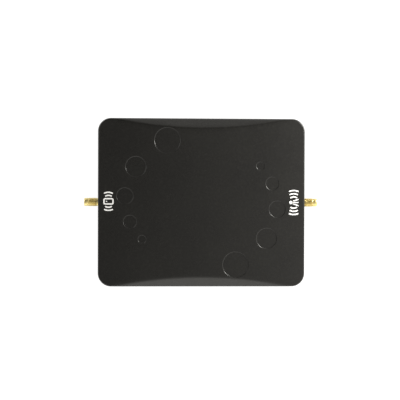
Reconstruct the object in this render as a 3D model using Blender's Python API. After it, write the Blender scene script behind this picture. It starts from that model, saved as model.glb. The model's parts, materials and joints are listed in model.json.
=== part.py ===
"""Cellular signal booster: two-part plastic case, circuit board and two SMA antenna jacks.

Metres, +Z up. X runs along the case from the indoor port (-X) to the outdoor port (+X).
The origin is under the middle of the case, on the surface that the rubber feet stand on.
"""
import math

import bmesh
import bpy
from mathutils import Matrix, Vector

# Every piece keeps this clearance to the pieces that it touches.
GAP = 0.0003

# How far a cutter runs past the faces that it goes through, and a fused piece into its neighbour
OVERRUN = 0.001

# Case
CASE_LENGTH = 0.1500
CASE_WIDTH = 0.1215
CORNER_RADIUS = 0.0094
WALL = 0.0022
FLOOR = 0.0025
FEET_STAND = 0.0015
PARTING_Z = 0.0098
RIM_Z = 0.0230
CROWN_RISE = 0.0061
ARCH_HALF_SPAN = 0.0645
FLANK_ANGLE = math.radians(40)
BASE_CHAMFER = 0.0012
TONGUE_HEIGHT = 0.0008
TONGUE_THICKNESS = 0.0009
CORNER_STEPS = 8
ARCH_STEPS = 24

# Round recesses in the top: x and y from the pattern's centre, and radius, of the five on the outdoor half.
# The indoor half has the same five, turned half a turn about that centre.
RECESS_DEPTH = 0.0005
RECESS_CENTRE_X = -0.0005
RECESSES = (
    (0.0246, -0.0446, 0.0095),
    (0.0472, -0.0257, 0.0076),
    (0.0550, -0.0046, 0.0062),
    (0.0513, 0.0139, 0.0050),
    (0.0426, 0.0265, 0.0032),
)

# Cover screws, feet, board standoffs and wall keyholes, each placed by its corner's x and y
COVER_SCREW_AT = (0.0665, 0.05225)
COVER_SCREW_RADIUS = 0.0015
COVER_SCREW_LENGTH = 0.0140
COVER_SCREW_HEAD_RADIUS = 0.0027
COVER_SCREW_HEAD_HEIGHT = 0.0018
COUNTERBORE_DEPTH = 0.0030
BOSS_RADIUS = 0.0038
FOOT_AT = (0.0540, 0.0420)
FOOT_RADIUS = 0.0060
FOOT_RECESS_DEPTH = 0.0007
STANDOFF_AT = (0.0600, 0.0380)
STANDOFF_RADIUS = 0.0030
STANDOFF_FLOOR = 0.0008
BOARD_SCREW_RADIUS = 0.00125
BOARD_SCREW_LENGTH = 0.0042
BOARD_SCREW_HEAD_RADIUS = 0.0024
BOARD_SCREW_HEAD_HEIGHT = 0.0015
KEYHOLE_X = 0.0520
KEYHOLE_HEAD_RADIUS = 0.0042
KEYHOLE_SLOT_RADIUS = 0.0022
KEYHOLE_SLOT_LENGTH = 0.0080

# Circuit board
BOARD_LENGTH = 0.1320
BOARD_WIDTH = 0.0880
BOARD_THICKNESS = 0.0016
BOARD_CORNER_RADIUS = 0.0020

# Components on the board: each size is length, width and height
DUPLEXER_SIZE = (0.0220, 0.0120, 0.0070)
DUPLEXER_X = 0.0440
RESONATOR_HOLES = 4
RESONATOR_HOLE_RADIUS = 0.0013
RESONATOR_PITCH = 0.0050
SIGNAL_PATH_Y = 0.0230
SHIELD_CAN_SIZE = (0.0560, 0.0260, 0.0062)
SHIELD_SHEET = 0.0004
LOW_NOISE_AMPLIFIER_X = -0.0200
LOW_NOISE_AMPLIFIER_SIZE = (0.0040, 0.0040, 0.0010)
SAW_FILTER_SIZE = (0.0060, 0.0050, 0.0014)
POWER_AMPLIFIER_X = 0.0190
POWER_AMPLIFIER_SIZE = (0.0080, 0.0080, 0.0012)
CONTROLLER_SIZE = (0.0090, 0.0090, 0.0011)
CRYSTAL_X = 0.0120
CRYSTAL_SIZE = (0.0050, 0.0032, 0.0013)
REGULATOR_AT = (-0.0440, -0.0350)
REGULATOR_SIZE = (0.0100, 0.0090, 0.0042)
REGULATOR_STANDS = 0.0003
REGULATOR_TAB = 0.0020
REGULATOR_TAB_THICKNESS = 0.0013
REGULATOR_LEGS = 5
REGULATOR_LEG_PITCH = 0.0017
REGULATOR_LEG_WIDTH = 0.0008
REGULATOR_LEG_REACH = 0.0035
INDUCTOR_AT = (-0.0440, 0.0310)
INDUCTOR_SIZE = (0.0120, 0.0120, 0.0060)
CAPACITOR_RADIUS = 0.0040
CAPACITOR_HEIGHT = 0.0105
CAPACITOR_GROOVE = 0.0035
CAPACITOR_Y = -0.0180
INPUT_CAPACITOR_X = -0.0500
OUTPUT_CAPACITOR_X = -0.0400

# Heat path from the board to the base
PLATE_SIZE = (0.0760, 0.0600)
PLATE_THICKNESS = 0.0016
PAD_SIZE = (0.0560, 0.0560)

# SMA jacks, 1/4-36 thread
SMA_REACH = 0.0103
SMA_RADIUS = 0.003175
SMA_ROOT_RADIUS = 0.0028
SMA_BORE_RADIUS = 0.0023
SMA_MOUTH_DEPTH = 0.0019
SMA_RIM_CHAMFER = 0.0003
SMA_THREAD_CHAMFER = 0.0004
SMA_BLOCK_HALF_WIDTH = 0.0042
SMA_BLOCK_LENGTH = 0.0062
SMA_PRONG = 0.0010
SMA_PRONG_REACH = 0.0040
SMA_CONTACT_RADIUS = 0.000635
SMA_CONTACT_BORE_RADIUS = 0.00047
SMA_CONTACT_BORE_DEPTH = 0.0025
SMA_SLOT_WIDTH = 0.0002
SMA_SLOT_DEPTH = 0.0019
SMA_TAIL_RADIUS = 0.0004
SMA_TAIL_REACH = 0.0030

# DC power jack for a 5.5 x 2.1 mm plug
JACK_Y = -0.0270
JACK_AXIS_ABOVE_BOARD = 0.0057
JACK_NOSE_RADIUS = 0.0037
JACK_BORE_RADIUS = 0.00315
JACK_BORE_DEPTH = 0.0110
JACK_LENGTH = 0.0140
JACK_WIDTH = 0.0090
JACK_HEIGHT = 0.0092
JACK_PIN_RADIUS = 0.0010
JACK_PIN_SET_BACK = 0.0022
JACK_TAB_WIDTH = 0.0018
JACK_TAB_THICKNESS = 0.0006
LEAF_CHANNEL_WALL = 0.0009
LEAF_THICKNESS = 0.0003
LEAF_WIDTH = 0.0024
LEAF_TRAVEL = 0.0004
LEAF_CREST_HEIGHT = 0.0006
LEAF_CREST_RADIUS = 0.0009

# Rating label, in a shallow recess under the base
LABEL_SIZE = (0.0520, 0.0280)
LABEL_RECESS = 0.0005
LABEL_THICKNESS = 0.0002
LABEL_CORNER_RADIUS = 0.0015

# Status lights in the same end wall
STATUS_LIGHT_Y = (-0.0120, -0.0170)
LIGHT_PIPE_RADIUS = 0.0013
LIGHT_PIPE_ABOVE_BOARD = 0.0057
LIGHT_PIPE_BEND = 0.0028
LIGHT_PIPE_SET_BACK = 0.0002
LED_SIZE = (0.0030, 0.0028, 0.0012)
LED_FROM_BOARD_END = 0.0030

# Worked out from the dimensions above
BASE_UNDERSIDE = FEET_STAND
FLOOR_TOP = BASE_UNDERSIDE + FLOOR
END_X = CASE_LENGTH / 2
SIDE_Y = CASE_WIDTH / 2
END_INSIDE_X = END_X - WALL
AXIS_Z = PARTING_Z
BOARD_TOP = AXIS_Z - SMA_TAIL_RADIUS - GAP
BOARD_UNDERSIDE = BOARD_TOP - BOARD_THICKNESS
ON_BOARD = BOARD_TOP + GAP
STANDOFF_BORE_LOW = FLOOR_TOP + STANDOFF_FLOOR
ARCH_RADIUS = (ARCH_HALF_SPAN ** 2 + CROWN_RISE ** 2) / (2 * CROWN_RISE)
ARCH_CENTRE_Z = RIM_Z + CROWN_RISE - ARCH_RADIUS
CORNERS = ((1, 1), (-1, 1), (-1, -1), (1, -1))


def clear_scene():
    for old in list(bpy.data.objects):
        bpy.data.objects.remove(old, do_unlink=True)


def material(name, colour, roughness, metallic=0.0):
    made = bpy.data.materials.new(name)
    made.use_nodes = True
    shader = made.node_tree.nodes["Principled BSDF"]
    shader.inputs["Base Color"].default_value = (*colour, 1.0)
    shader.inputs["Roughness"].default_value = roughness
    shader.inputs["Metallic"].default_value = metallic
    return made


def add_object(name, data, finish=None, parent=None, at=(0, 0, 0)):
    made = bpy.data.objects.new(name, data)
    bpy.context.scene.collection.objects.link(made)
    made.location = at
    made.parent = parent
    if finish is not None:
        data.materials.clear()
        data.materials.append(material(name, *finish))
    return made


def add_mesh(name, bm, finish=None, parent=None, at=(0, 0, 0), smooth=False):
    bmesh.ops.remove_doubles(bm, verts=bm.verts, dist=1e-7)
    bmesh.ops.recalc_face_normals(bm, faces=bm.faces)
    mesh = bpy.data.meshes.new(name)
    bm.to_mesh(mesh)
    bm.free()
    if smooth:
        mesh.shade_smooth()
        mesh.set_sharp_from_angle(angle=math.radians(35))
    return add_object(name, mesh, finish, parent, at)


def as_guide(guide):
    guide.hide_render = True
    guide.display_type = "WIRE"
    return guide


def boolean(target, other, operation):
    as_guide(other)
    other.parent = target
    step = target.modifiers.new(other.name, "BOOLEAN")
    step.operation = operation
    step.solver = "EXACT"
    step.object = other


def cut(target, cutter):
    boolean(target, cutter, "DIFFERENCE")


def fuse(target, addition):
    boolean(target, addition, "UNION")


def keep_common(target, other):
    boolean(target, other, "INTERSECT")


def add_box(bm, low, high):
    low = Vector(low)
    high = Vector(high)
    place = Matrix.Translation((low + high) / 2) @ Matrix.Diagonal((*(high - low), 1.0))
    bmesh.ops.create_cube(bm, size=1.0, matrix=place)


def add_cylinder(bm, centre, radius, z_low, z_high, steps=16, turn=None):
    """A cylinder along Z, or along the Z of the rotation matrix turn."""
    place = Matrix.Translation(centre)
    if turn is not None:
        place = place @ turn.to_4x4()
    place = place @ Matrix.Translation((0, 0, (z_low + z_high) / 2))
    bmesh.ops.create_cone(bm, cap_ends=True, cap_tris=False, segments=steps, radius1=radius,
                          radius2=radius, depth=z_high - z_low, matrix=place)


def add_turned(bm, profile, steps=32):
    """Turn an open profile of (radius, z) points, both ends on the axis, about Z."""
    points = [bm.verts.new((radius, 0, z)) for radius, z in profile]
    edges = [bm.edges.new(pair) for pair in zip(points, points[1:])]
    bmesh.ops.spin(bm, geom=points + edges, cent=(0, 0, 0), axis=(0, 0, 1),
                   angle=2 * math.pi, steps=steps, use_merge=True)


def add_ring(bm, profile, steps=32):
    """Turn a closed profile of (radius, z) points that stays off the axis about Z."""
    points = [bm.verts.new((radius, 0, z)) for radius, z in profile]
    edges = [bm.edges.new(pair) for pair in zip(points, points[1:] + points[:1])]
    bmesh.ops.spin(bm, geom=points + edges, cent=(0, 0, 0), axis=(0, 0, 1),
                   angle=2 * math.pi, steps=steps, use_merge=True)


def add_extruded(bm, outline, direction):
    """A prism: the closed outline of 3-D points, extruded along direction."""
    face = bm.faces.new([bm.verts.new(point) for point in outline])
    grown = bmesh.ops.extrude_face_region(bm, geom=[face], use_keep_orig=True)
    moved = [item for item in grown["geom"] if isinstance(item, bmesh.types.BMVert)]
    bmesh.ops.translate(bm, verts=moved, vec=direction)


def rounded_outline(half_length, half_width, radius, steps):
    points = []
    for quarter, (sx, sy) in enumerate(CORNERS):
        cx = sx * (half_length - radius)
        cy = sy * (half_width - radius)
        for step in range(steps + 1):
            angle = math.radians(90) * (quarter + step / steps)
            points.append((cx + radius * math.cos(angle), cy + radius * math.sin(angle)))
    return points


def add_rounded_solid(bm, length, width, radius, levels, steps=4):
    """Stack rounded rectangles: levels are (z, inset) pairs from the lowest to the highest."""
    rings = []
    for z, inset in levels:
        outline = rounded_outline(length / 2 - inset, width / 2 - inset, radius - inset, steps)
        rings.append([bm.verts.new((x, y, z)) for x, y in outline])
    bm.faces.new(rings[0])
    bm.faces.new(rings[-1])
    for lower, upper in zip(rings, rings[1:]):
        for start in range(len(lower)):
            end = (start + 1) % len(lower)
            bm.faces.new((lower[start], lower[end], upper[end], upper[start]))


def case_solid(name, levels):
    bm = bmesh.new()
    add_rounded_solid(bm, CASE_LENGTH, CASE_WIDTH, CORNER_RADIUS, levels, CORNER_STEPS)
    return add_mesh(name, bm)


def arch_z(x, inset=0.0):
    """Height of the arched top at x, or of the surface that lies inset below it."""
    radius = ARCH_RADIUS - inset
    return ARCH_CENTRE_Z + math.sqrt(radius ** 2 - x ** 2)


def case_blank(name, inset, z_low):
    """The closed shape of the case, inset on every side, from z_low up to its arched top."""
    blank = case_solid(name, [(z_low, inset), (RIM_Z + 2 * CROWN_RISE, inset)])

    bm = bmesh.new()
    reach = END_X + OVERRUN
    side = -SIDE_Y - OVERRUN
    outline = [(-reach, side, z_low - OVERRUN), (reach, side, z_low - OVERRUN)]
    for step in range(ARCH_STEPS + 1):
        x = reach - 2 * reach * step / ARCH_STEPS
        outline.append((x, side, arch_z(x, inset)))
    add_extruded(bm, outline, (0, -2 * side, 0))
    keep_common(blank, add_mesh(name + "_arch", bm))

    # The long edges are cut by sloping planes that start at the rim.
    bm = bmesh.new()
    rim = RIM_Z - inset / math.cos(FLANK_ANGLE)
    low = z_low - OVERRUN
    peak = rim + SIDE_Y * math.tan(FLANK_ANGLE)
    outside = SIDE_Y + OVERRUN
    outer_rim = rim - OVERRUN * math.tan(FLANK_ANGLE)
    outline = [(-reach, -outside, low), (-reach, outside, low), (-reach, outside, outer_rim),
               (-reach, 0, peak), (-reach, -outside, outer_rim)]
    add_extruded(bm, outline, (2 * reach, 0, 0))
    keep_common(blank, add_mesh(name + "_flanks", bm))
    return blank


def recess_cutters():
    """Shallow round recesses that follow the slope of the arch."""
    bm = bmesh.new()
    for turned in (1, -1):
        for x, y, radius in RECESSES:
            x = RECESS_CENTRE_X + x * turned
            y = y * turned
            centre = Vector((x, y, arch_z(x)))
            outward = (centre - Vector((0, y, ARCH_CENTRE_Z))).normalized()
            turn = outward.to_track_quat("Z", "Y").to_matrix()
            add_cylinder(bm, centre, radius, -RECESS_DEPTH, OVERRUN, steps=32, turn=turn)
    return add_mesh("recess_cutters", bm)


def add_wall_hole(bm, side, y, z, radius, steps=32):
    """A cylinder through the end wall on that side."""
    turn = Matrix.Rotation(math.radians(90), 3, "Y")
    centre = (side * (END_X - WALL / 2), y, z)
    reach = WALL / 2 + OVERRUN
    add_cylinder(bm, centre, radius, -reach, reach, steps=steps, turn=turn)


def sma_hole_cutters(name):
    """Holes through the end walls: an SMA jack at each end."""
    bm = bmesh.new()
    for side in (1, -1):
        add_wall_hole(bm, side, 0, AXIS_Z, SMA_RADIUS + GAP)
    return add_mesh(name, bm)


def make_top_cover(parent):
    finish = ((0.022, 0.021, 0.019), 0.42)
    cover = case_blank("top_cover", 0.0, PARTING_Z + GAP / 2)
    cover.parent = parent
    cover.data.materials.append(material("top_cover", *finish))
    cut(cover, case_blank("top_cover_inside", WALL, PARTING_Z - OVERRUN))

    # Rebate for the base cover's tongue
    rebate = WALL - TONGUE_THICKNESS - GAP
    cut(cover, case_solid("top_cover_rebate", [(PARTING_Z - OVERRUN, rebate),
                                               (PARTING_Z + TONGUE_HEIGHT + GAP, rebate)]))

    # Screw bosses hang from the ceiling and reach down to the base's bosses.
    bm = bmesh.new()
    x, y = COVER_SCREW_AT
    for sx, sy in CORNERS:
        add_cylinder(bm, (sx * x, sy * y, 0), BOSS_RADIUS, PARTING_Z + GAP / 2, arch_z(x, WALL / 2))
    fuse(cover, add_mesh("top_cover_bosses", bm, smooth=True))
    bm = bmesh.new()
    pilot_top = BASE_UNDERSIDE + COUNTERBORE_DEPTH + COVER_SCREW_LENGTH + OVERRUN
    for sx, sy in CORNERS:
        add_cylinder(bm, (sx * x, sy * y, 0), COVER_SCREW_RADIUS + GAP, PARTING_Z - OVERRUN, pilot_top)
    cut(cover, add_mesh("top_cover_pilots", bm))

    cut(cover, recess_cutters())
    cut(cover, sma_hole_cutters("top_cover_jack_holes"))

    # Holes in the indoor end wall for the power jack's nose and the light pipes
    bm = bmesh.new()
    add_wall_hole(bm, -1, JACK_Y, BOARD_TOP + JACK_AXIS_ABOVE_BOARD, JACK_NOSE_RADIUS + GAP)
    for y in STATUS_LIGHT_Y:
        add_wall_hole(bm, -1, y, BOARD_TOP + LIGHT_PIPE_ABOVE_BOARD, LIGHT_PIPE_RADIUS + GAP, steps=16)
    cut(cover, add_mesh("top_cover_inlet_holes", bm))
    return cover


def keyhole_cutters():
    bm = bmesh.new()
    low = BASE_UNDERSIDE - OVERRUN
    high = FLOOR_TOP + OVERRUN
    head_steps = 24
    slot_steps = 8
    for side in (1, -1):
        x = side * KEYHOLE_X
        outline = []
        neck = math.asin(KEYHOLE_SLOT_RADIUS / KEYHOLE_HEAD_RADIUS)
        for step in range(head_steps + 1):
            angle = math.radians(90) + neck + (2 * math.pi - 2 * neck) * step / head_steps
            outline.append((x + KEYHOLE_HEAD_RADIUS * math.cos(angle),
                            KEYHOLE_HEAD_RADIUS * math.sin(angle), low))
        for step in range(slot_steps + 1):
            angle = math.pi * step / slot_steps
            outline.append((x + KEYHOLE_SLOT_RADIUS * math.cos(angle),
                            KEYHOLE_SLOT_LENGTH + KEYHOLE_SLOT_RADIUS * math.sin(angle), low))
        add_extruded(bm, outline, (0, 0, high - low))
    return add_mesh("base_cover_keyholes", bm)


def make_base_cover(parent):
    finish = ((0.020, 0.019, 0.018), 0.50)
    top = PARTING_Z - GAP / 2
    cover = case_solid("base_cover", [(BASE_UNDERSIDE, BASE_CHAMFER),
                                      (BASE_UNDERSIDE + BASE_CHAMFER, 0.0), (top, 0.0)])
    cover.parent = parent
    cover.data.materials.append(material("base_cover", *finish))

    # Tongue along the inside of the rim
    inner = WALL - TONGUE_THICKNESS
    fuse(cover, case_solid("base_cover_tongue", [(top - OVERRUN, inner), (top + TONGUE_HEIGHT, inner)]))
    inside_top = top + TONGUE_HEIGHT + OVERRUN
    cut(cover, case_solid("base_cover_inside", [(FLOOR_TOP, WALL), (inside_top, WALL)]))

    bm = bmesh.new()
    for sx, sy in CORNERS:
        x, y = COVER_SCREW_AT
        add_cylinder(bm, (sx * x, sy * y, 0), BOSS_RADIUS, FLOOR_TOP - OVERRUN, top)
        x, y = STANDOFF_AT
        add_cylinder(bm, (sx * x, sy * y, 0), STANDOFF_RADIUS, FLOOR_TOP - OVERRUN,
                     BOARD_UNDERSIDE - GAP)
    fuse(cover, add_mesh("base_cover_bosses", bm, smooth=True))

    bm = bmesh.new()
    for sx, sy in CORNERS:
        x, y = COVER_SCREW_AT
        shoulder = BASE_UNDERSIDE + COUNTERBORE_DEPTH
        add_cylinder(bm, (sx * x, sy * y, 0), COVER_SCREW_RADIUS + GAP, shoulder - OVERRUN,
                     top + OVERRUN)
    cut(cover, add_mesh("base_cover_screw_holes", bm))
    bm = bmesh.new()
    for sx, sy in CORNERS:
        x, y = COVER_SCREW_AT
        add_cylinder(bm, (sx * x, sy * y, 0), COVER_SCREW_HEAD_RADIUS + GAP,
                     BASE_UNDERSIDE - OVERRUN, BASE_UNDERSIDE + COUNTERBORE_DEPTH)
        x, y = STANDOFF_AT
        add_cylinder(bm, (sx * x, sy * y, 0), BOARD_SCREW_RADIUS + GAP, STANDOFF_BORE_LOW, PARTING_Z)
        x, y = FOOT_AT
        add_cylinder(bm, (sx * x, sy * y, 0), FOOT_RADIUS + GAP,
                     BASE_UNDERSIDE - OVERRUN, BASE_UNDERSIDE + FOOT_RECESS_DEPTH, steps=32)
    cut(cover, add_mesh("base_cover_recesses", bm))

    cut(cover, keyhole_cutters())
    cut(cover, sma_hole_cutters("base_cover_jack_holes"))
    length, width = LABEL_SIZE
    bm = bmesh.new()
    add_rounded_solid(bm, length + 2 * GAP, width + 2 * GAP, LABEL_CORNER_RADIUS + GAP,
                      [(BASE_UNDERSIDE - OVERRUN, 0.0), (BASE_UNDERSIDE + LABEL_RECESS, 0.0)])
    cut(cover, add_mesh("base_cover_label_recess", bm))
    return cover


def make_rating_label(parent):
    """A plain label in its shallow recess under the base."""
    length, width = LABEL_SIZE
    bm = bmesh.new()
    add_rounded_solid(bm, length, width, LABEL_CORNER_RADIUS,
                      [(BASE_UNDERSIDE, 0.0), (BASE_UNDERSIDE + LABEL_THICKNESS, 0.0)])
    add_mesh("rating_label", bm, ((0.62, 0.63, 0.64), 0.45), parent)


def screw_mesh(name, radius, length, head_radius, head_height):
    """A pan-head cross-recess screw: the head's bearing face at z = 0, the shank upwards."""
    bm = bmesh.new()
    profile = [(0, -head_height), (head_radius * 0.55, -head_height),
               (head_radius * 0.9, -head_height * 0.8), (head_radius, -head_height * 0.45),
               (head_radius, 0), (radius, 0), (radius, length - radius), (radius * 0.4, length),
               (0, length)]
    add_turned(bm, profile, steps=14)
    screw = add_mesh(name, bm, smooth=True)
    bm = bmesh.new()
    arm = head_radius * 0.55
    half = head_radius * 0.12
    depth = head_height * 0.6
    add_box(bm, (-arm, -half, -head_height - OVERRUN), (arm, half, -head_height + depth))
    first = add_mesh(name + "_slot_a", bm)
    bm = bmesh.new()
    add_box(bm, (-half, -arm, -head_height - OVERRUN), (half, arm, -head_height + depth))
    second = add_mesh(name + "_slot_b", bm)
    cut(screw, first)
    cut(screw, second)
    bpy.context.view_layer.update()
    finished = bpy.data.meshes.new_from_object(screw.evaluated_get(bpy.context.evaluated_depsgraph_get()))
    finished.name = name
    for used in (first, second, screw):
        bpy.data.objects.remove(used, do_unlink=True)
    return finished


def make_screws(name, mesh, finish, place, z, parent, point_down=False):
    mesh.materials.clear()
    mesh.materials.append(material(name, *finish))
    x, y = place
    for number, (sx, sy) in enumerate(CORNERS, start=1):
        screw = add_object(f"{name}_{number}", mesh, None, parent, (sx * x, sy * y, z))
        if point_down:
            screw.rotation_euler = (math.pi, 0, 0)


def make_fasteners(parent):
    steel = ((0.55, 0.55, 0.56), 0.32, 1.0)
    cover_screw = screw_mesh("cover_screw", COVER_SCREW_RADIUS, COVER_SCREW_LENGTH,
                             COVER_SCREW_HEAD_RADIUS, COVER_SCREW_HEAD_HEIGHT)
    bearing = BASE_UNDERSIDE + COUNTERBORE_DEPTH - GAP
    make_screws("cover_screw", cover_screw, steel, COVER_SCREW_AT, bearing, parent)
    board_screw = screw_mesh("board_screw", BOARD_SCREW_RADIUS, BOARD_SCREW_LENGTH,
                             BOARD_SCREW_HEAD_RADIUS, BOARD_SCREW_HEAD_HEIGHT)
    make_screws("board_screw", board_screw, steel, STANDOFF_AT, ON_BOARD, parent, point_down=True)


def make_rubber_feet(parent):
    bm = bmesh.new()
    top = BASE_UNDERSIDE + FOOT_RECESS_DEPTH - GAP
    edge = 0.0005
    add_turned(bm, [(0, 0), (FOOT_RADIUS - edge, 0), (FOOT_RADIUS, edge), (FOOT_RADIUS, top), (0, top)])
    first = add_mesh("rubber_foot_1", bm, ((0.03, 0.03, 0.03), 0.85), parent, smooth=True)
    x, y = FOOT_AT
    for number, (sx, sy) in enumerate(CORNERS, start=1):
        foot = first if number == 1 else add_object(f"rubber_foot_{number}", first.data, None, parent)
        foot.location = (sx * x, sy * y, 0)


def make_main_board(parent):
    bm = bmesh.new()
    add_rounded_solid(bm, BOARD_LENGTH, BOARD_WIDTH, BOARD_CORNER_RADIUS,
                      [(BOARD_UNDERSIDE, 0.0), (BOARD_TOP, 0.0)])
    board = add_mesh("main_board", bm, ((0.010, 0.090, 0.045), 0.45), parent)
    bm = bmesh.new()
    x, y = STANDOFF_AT
    for sx, sy in CORNERS:
        add_cylinder(bm, (sx * x, sy * y, 0), BOARD_SCREW_RADIUS + GAP,
                     BOARD_UNDERSIDE - OVERRUN, BOARD_TOP + OVERRUN)
    cut(board, add_mesh("main_board_holes", bm))


def outward_frame(name, side, parent):
    """An empty on a jack's axis, at the outside of the end wall, with its Z pointing out."""
    frame = add_object(name, None, None, parent, (side * END_X, 0, AXIS_Z))
    frame.rotation_euler = (0, side * math.radians(90), 0)
    return frame


def make_sma_jack(port, side, parent):
    """Board-edge SMA jack: z = 0 of its frame is the outside of the end wall."""
    frame = outward_frame(f"{port}_sma_axis", side, parent)
    gold = ((0.80, 0.58, 0.22), 0.25, 1.0)
    block_front = -WALL - GAP
    block_back = block_front - SMA_BLOCK_LENGTH
    chamfer = SMA_THREAD_CHAMFER
    inside_block = block_back + OVERRUN
    shoulder = block_front + OVERRUN

    bm = bmesh.new()
    add_turned(bm, [(0, inside_block), (SMA_ROOT_RADIUS, inside_block), (SMA_ROOT_RADIUS, shoulder),
                    (SMA_RADIUS - chamfer, shoulder), (SMA_RADIUS, shoulder + chamfer),
                    (SMA_RADIUS, SMA_REACH - chamfer), (SMA_RADIUS - chamfer, SMA_REACH), (0, SMA_REACH)])
    body = add_mesh(f"{port}_sma_body", bm, gold, frame, smooth=True)

    bm = bmesh.new()
    half = SMA_BLOCK_HALF_WIDTH
    add_box(bm, (-half, -half, block_back), (half, half, block_front))
    fuse(body, add_mesh(f"{port}_sma_block", bm))

    # Four prongs hold the board's edge. Before turning, the block's x is the object's up or down.
    bm = bmesh.new()
    centre_line = AXIS_Z - (BOARD_TOP + BOARD_UNDERSIDE) / 2
    nearest = BOARD_THICKNESS / 2 + GAP
    for level in (centre_line - nearest - SMA_PRONG, centre_line + nearest):
        level = level * side
        for across in (-half, half - SMA_PRONG):
            low = min(level, level + side * SMA_PRONG)
            add_box(bm, (low, across, block_back - SMA_PRONG_REACH),
                    (low + SMA_PRONG, across + SMA_PRONG, inside_block))
    fuse(body, add_mesh(f"{port}_sma_prongs", bm))

    bm = bmesh.new()
    mouth = SMA_BORE_RADIUS + SMA_RIM_CHAMFER
    bore_low = block_back - OVERRUN
    bore_high = SMA_REACH + OVERRUN
    add_turned(bm, [(0, bore_low), (SMA_BORE_RADIUS, bore_low),
                    (SMA_BORE_RADIUS, SMA_REACH - SMA_RIM_CHAMFER), (mouth, SMA_REACH),
                    (mouth, bore_high), (0, bore_high)])
    cut(body, add_mesh(f"{port}_sma_bore", bm))

    bm = bmesh.new()
    face = SMA_REACH - SMA_MOUTH_DEPTH
    outer = SMA_BORE_RADIUS - GAP
    inner = SMA_CONTACT_RADIUS + GAP
    add_ring(bm, [(inner, block_back), (outer, block_back), (outer, face), (inner, face)], steps=16)
    add_mesh(f"{port}_sma_insulator", bm, ((0.86, 0.86, 0.82), 0.5), frame, smooth=True)

    bm = bmesh.new()
    tail_end = block_back - SMA_TAIL_REACH
    bottom = face - SMA_CONTACT_BORE_DEPTH
    add_turned(bm, [(0, tail_end), (SMA_TAIL_RADIUS, tail_end), (SMA_TAIL_RADIUS, block_back),
                    (SMA_CONTACT_RADIUS, block_back), (SMA_CONTACT_RADIUS, face),
                    (SMA_CONTACT_BORE_RADIUS, face), (SMA_CONTACT_BORE_RADIUS, bottom), (0, bottom)],
               steps=16)
    contact = add_mesh(f"{port}_sma_contact", bm, gold, frame, smooth=True)
    bm = bmesh.new()
    half = SMA_SLOT_WIDTH / 2
    slot_low = face - SMA_SLOT_DEPTH
    add_box(bm, (-OVERRUN, -half, slot_low), (OVERRUN, half, face + OVERRUN))
    cut(contact, add_mesh(f"{port}_sma_contact_slot", bm))


def board_block(name, centre, size, finish, parent, chamfer=0.0002, radius=0.0006, z_low=ON_BOARD):
    """A component body on the board: a block with rounded corners and a chamfered top edge."""
    length, width, height = size
    bm = bmesh.new()
    add_rounded_solid(bm, length, width, radius,
                      [(0.0, 0.0), (height - chamfer, 0.0), (height, chamfer)], steps=2)
    return add_mesh(name, bm, finish, parent, (*centre, z_low))


def make_duplexer(name, x, parent):
    """A silvered ceramic block with a row of resonator holes."""
    height = DUPLEXER_SIZE[2]
    block = board_block(name, (x, 0), DUPLEXER_SIZE, ((0.66, 0.66, 0.64), 0.35, 0.8), parent)
    bm = bmesh.new()
    turn = Matrix.Rotation(math.radians(90), 3, "X")
    reach = DUPLEXER_SIZE[1] / 2 + OVERRUN
    for step in range(RESONATOR_HOLES):
        centre = ((step - (RESONATOR_HOLES - 1) / 2) * RESONATOR_PITCH, 0, height / 2)
        add_cylinder(bm, centre, RESONATOR_HOLE_RADIUS, -reach, reach, steps=10, turn=turn)
    cut(block, add_mesh(name + "_holes", bm))


def make_shield_can(name, y, parent):
    """A thin metal lid, open towards the board."""
    length, width, height = SHIELD_CAN_SIZE
    bm = bmesh.new()
    add_box(bm, (-length / 2, -width / 2, 0), (length / 2, width / 2, height))
    open_side = min(bm.faces, key=lambda face: face.calc_center_median().z)
    bmesh.ops.delete(bm, geom=[open_side], context="FACES_ONLY")
    can = add_mesh(name, bm, ((0.62, 0.62, 0.60), 0.30, 1.0), parent, (0, y, ON_BOARD))
    shell = can.modifiers.new("sheet", "SOLIDIFY")
    shell.thickness = SHIELD_SHEET
    shell.offset = -1.0
    shell.use_even_offset = True


def make_amplifier_chain(direction, y, towards, parent):
    """Low-noise amplifier, filter and power amplifier, in the order that the signal takes them."""
    package = ((0.025, 0.025, 0.028), 0.55)
    board_block(f"{direction}_low_noise_amplifier", (towards * LOW_NOISE_AMPLIFIER_X, y),
                LOW_NOISE_AMPLIFIER_SIZE, package, parent)
    board_block(f"{direction}_saw_filter", (0, y), SAW_FILTER_SIZE, ((0.70, 0.62, 0.42), 0.35, 0.7), parent)
    board_block(f"{direction}_power_amplifier", (towards * POWER_AMPLIFIER_X, y),
                POWER_AMPLIFIER_SIZE, package, parent)


def make_capacitor(name, x, parent):
    radius = CAPACITOR_RADIUS
    height = CAPACITOR_HEIGHT
    groove = CAPACITOR_GROOVE
    bm = bmesh.new()
    add_turned(bm, [(0, 0), (radius * 0.96, 0), (radius, 0.0004), (radius, height - groove),
                    (radius * 0.92, height - groove + 0.0005), (radius, height - groove + 0.001),
                    (radius, height - 0.0006), (radius - 0.0006, height), (0, height)], steps=16)
    add_mesh(name, bm, ((0.02, 0.03, 0.05), 0.35), parent, (x, CAPACITOR_Y, ON_BOARD), smooth=True)


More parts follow.
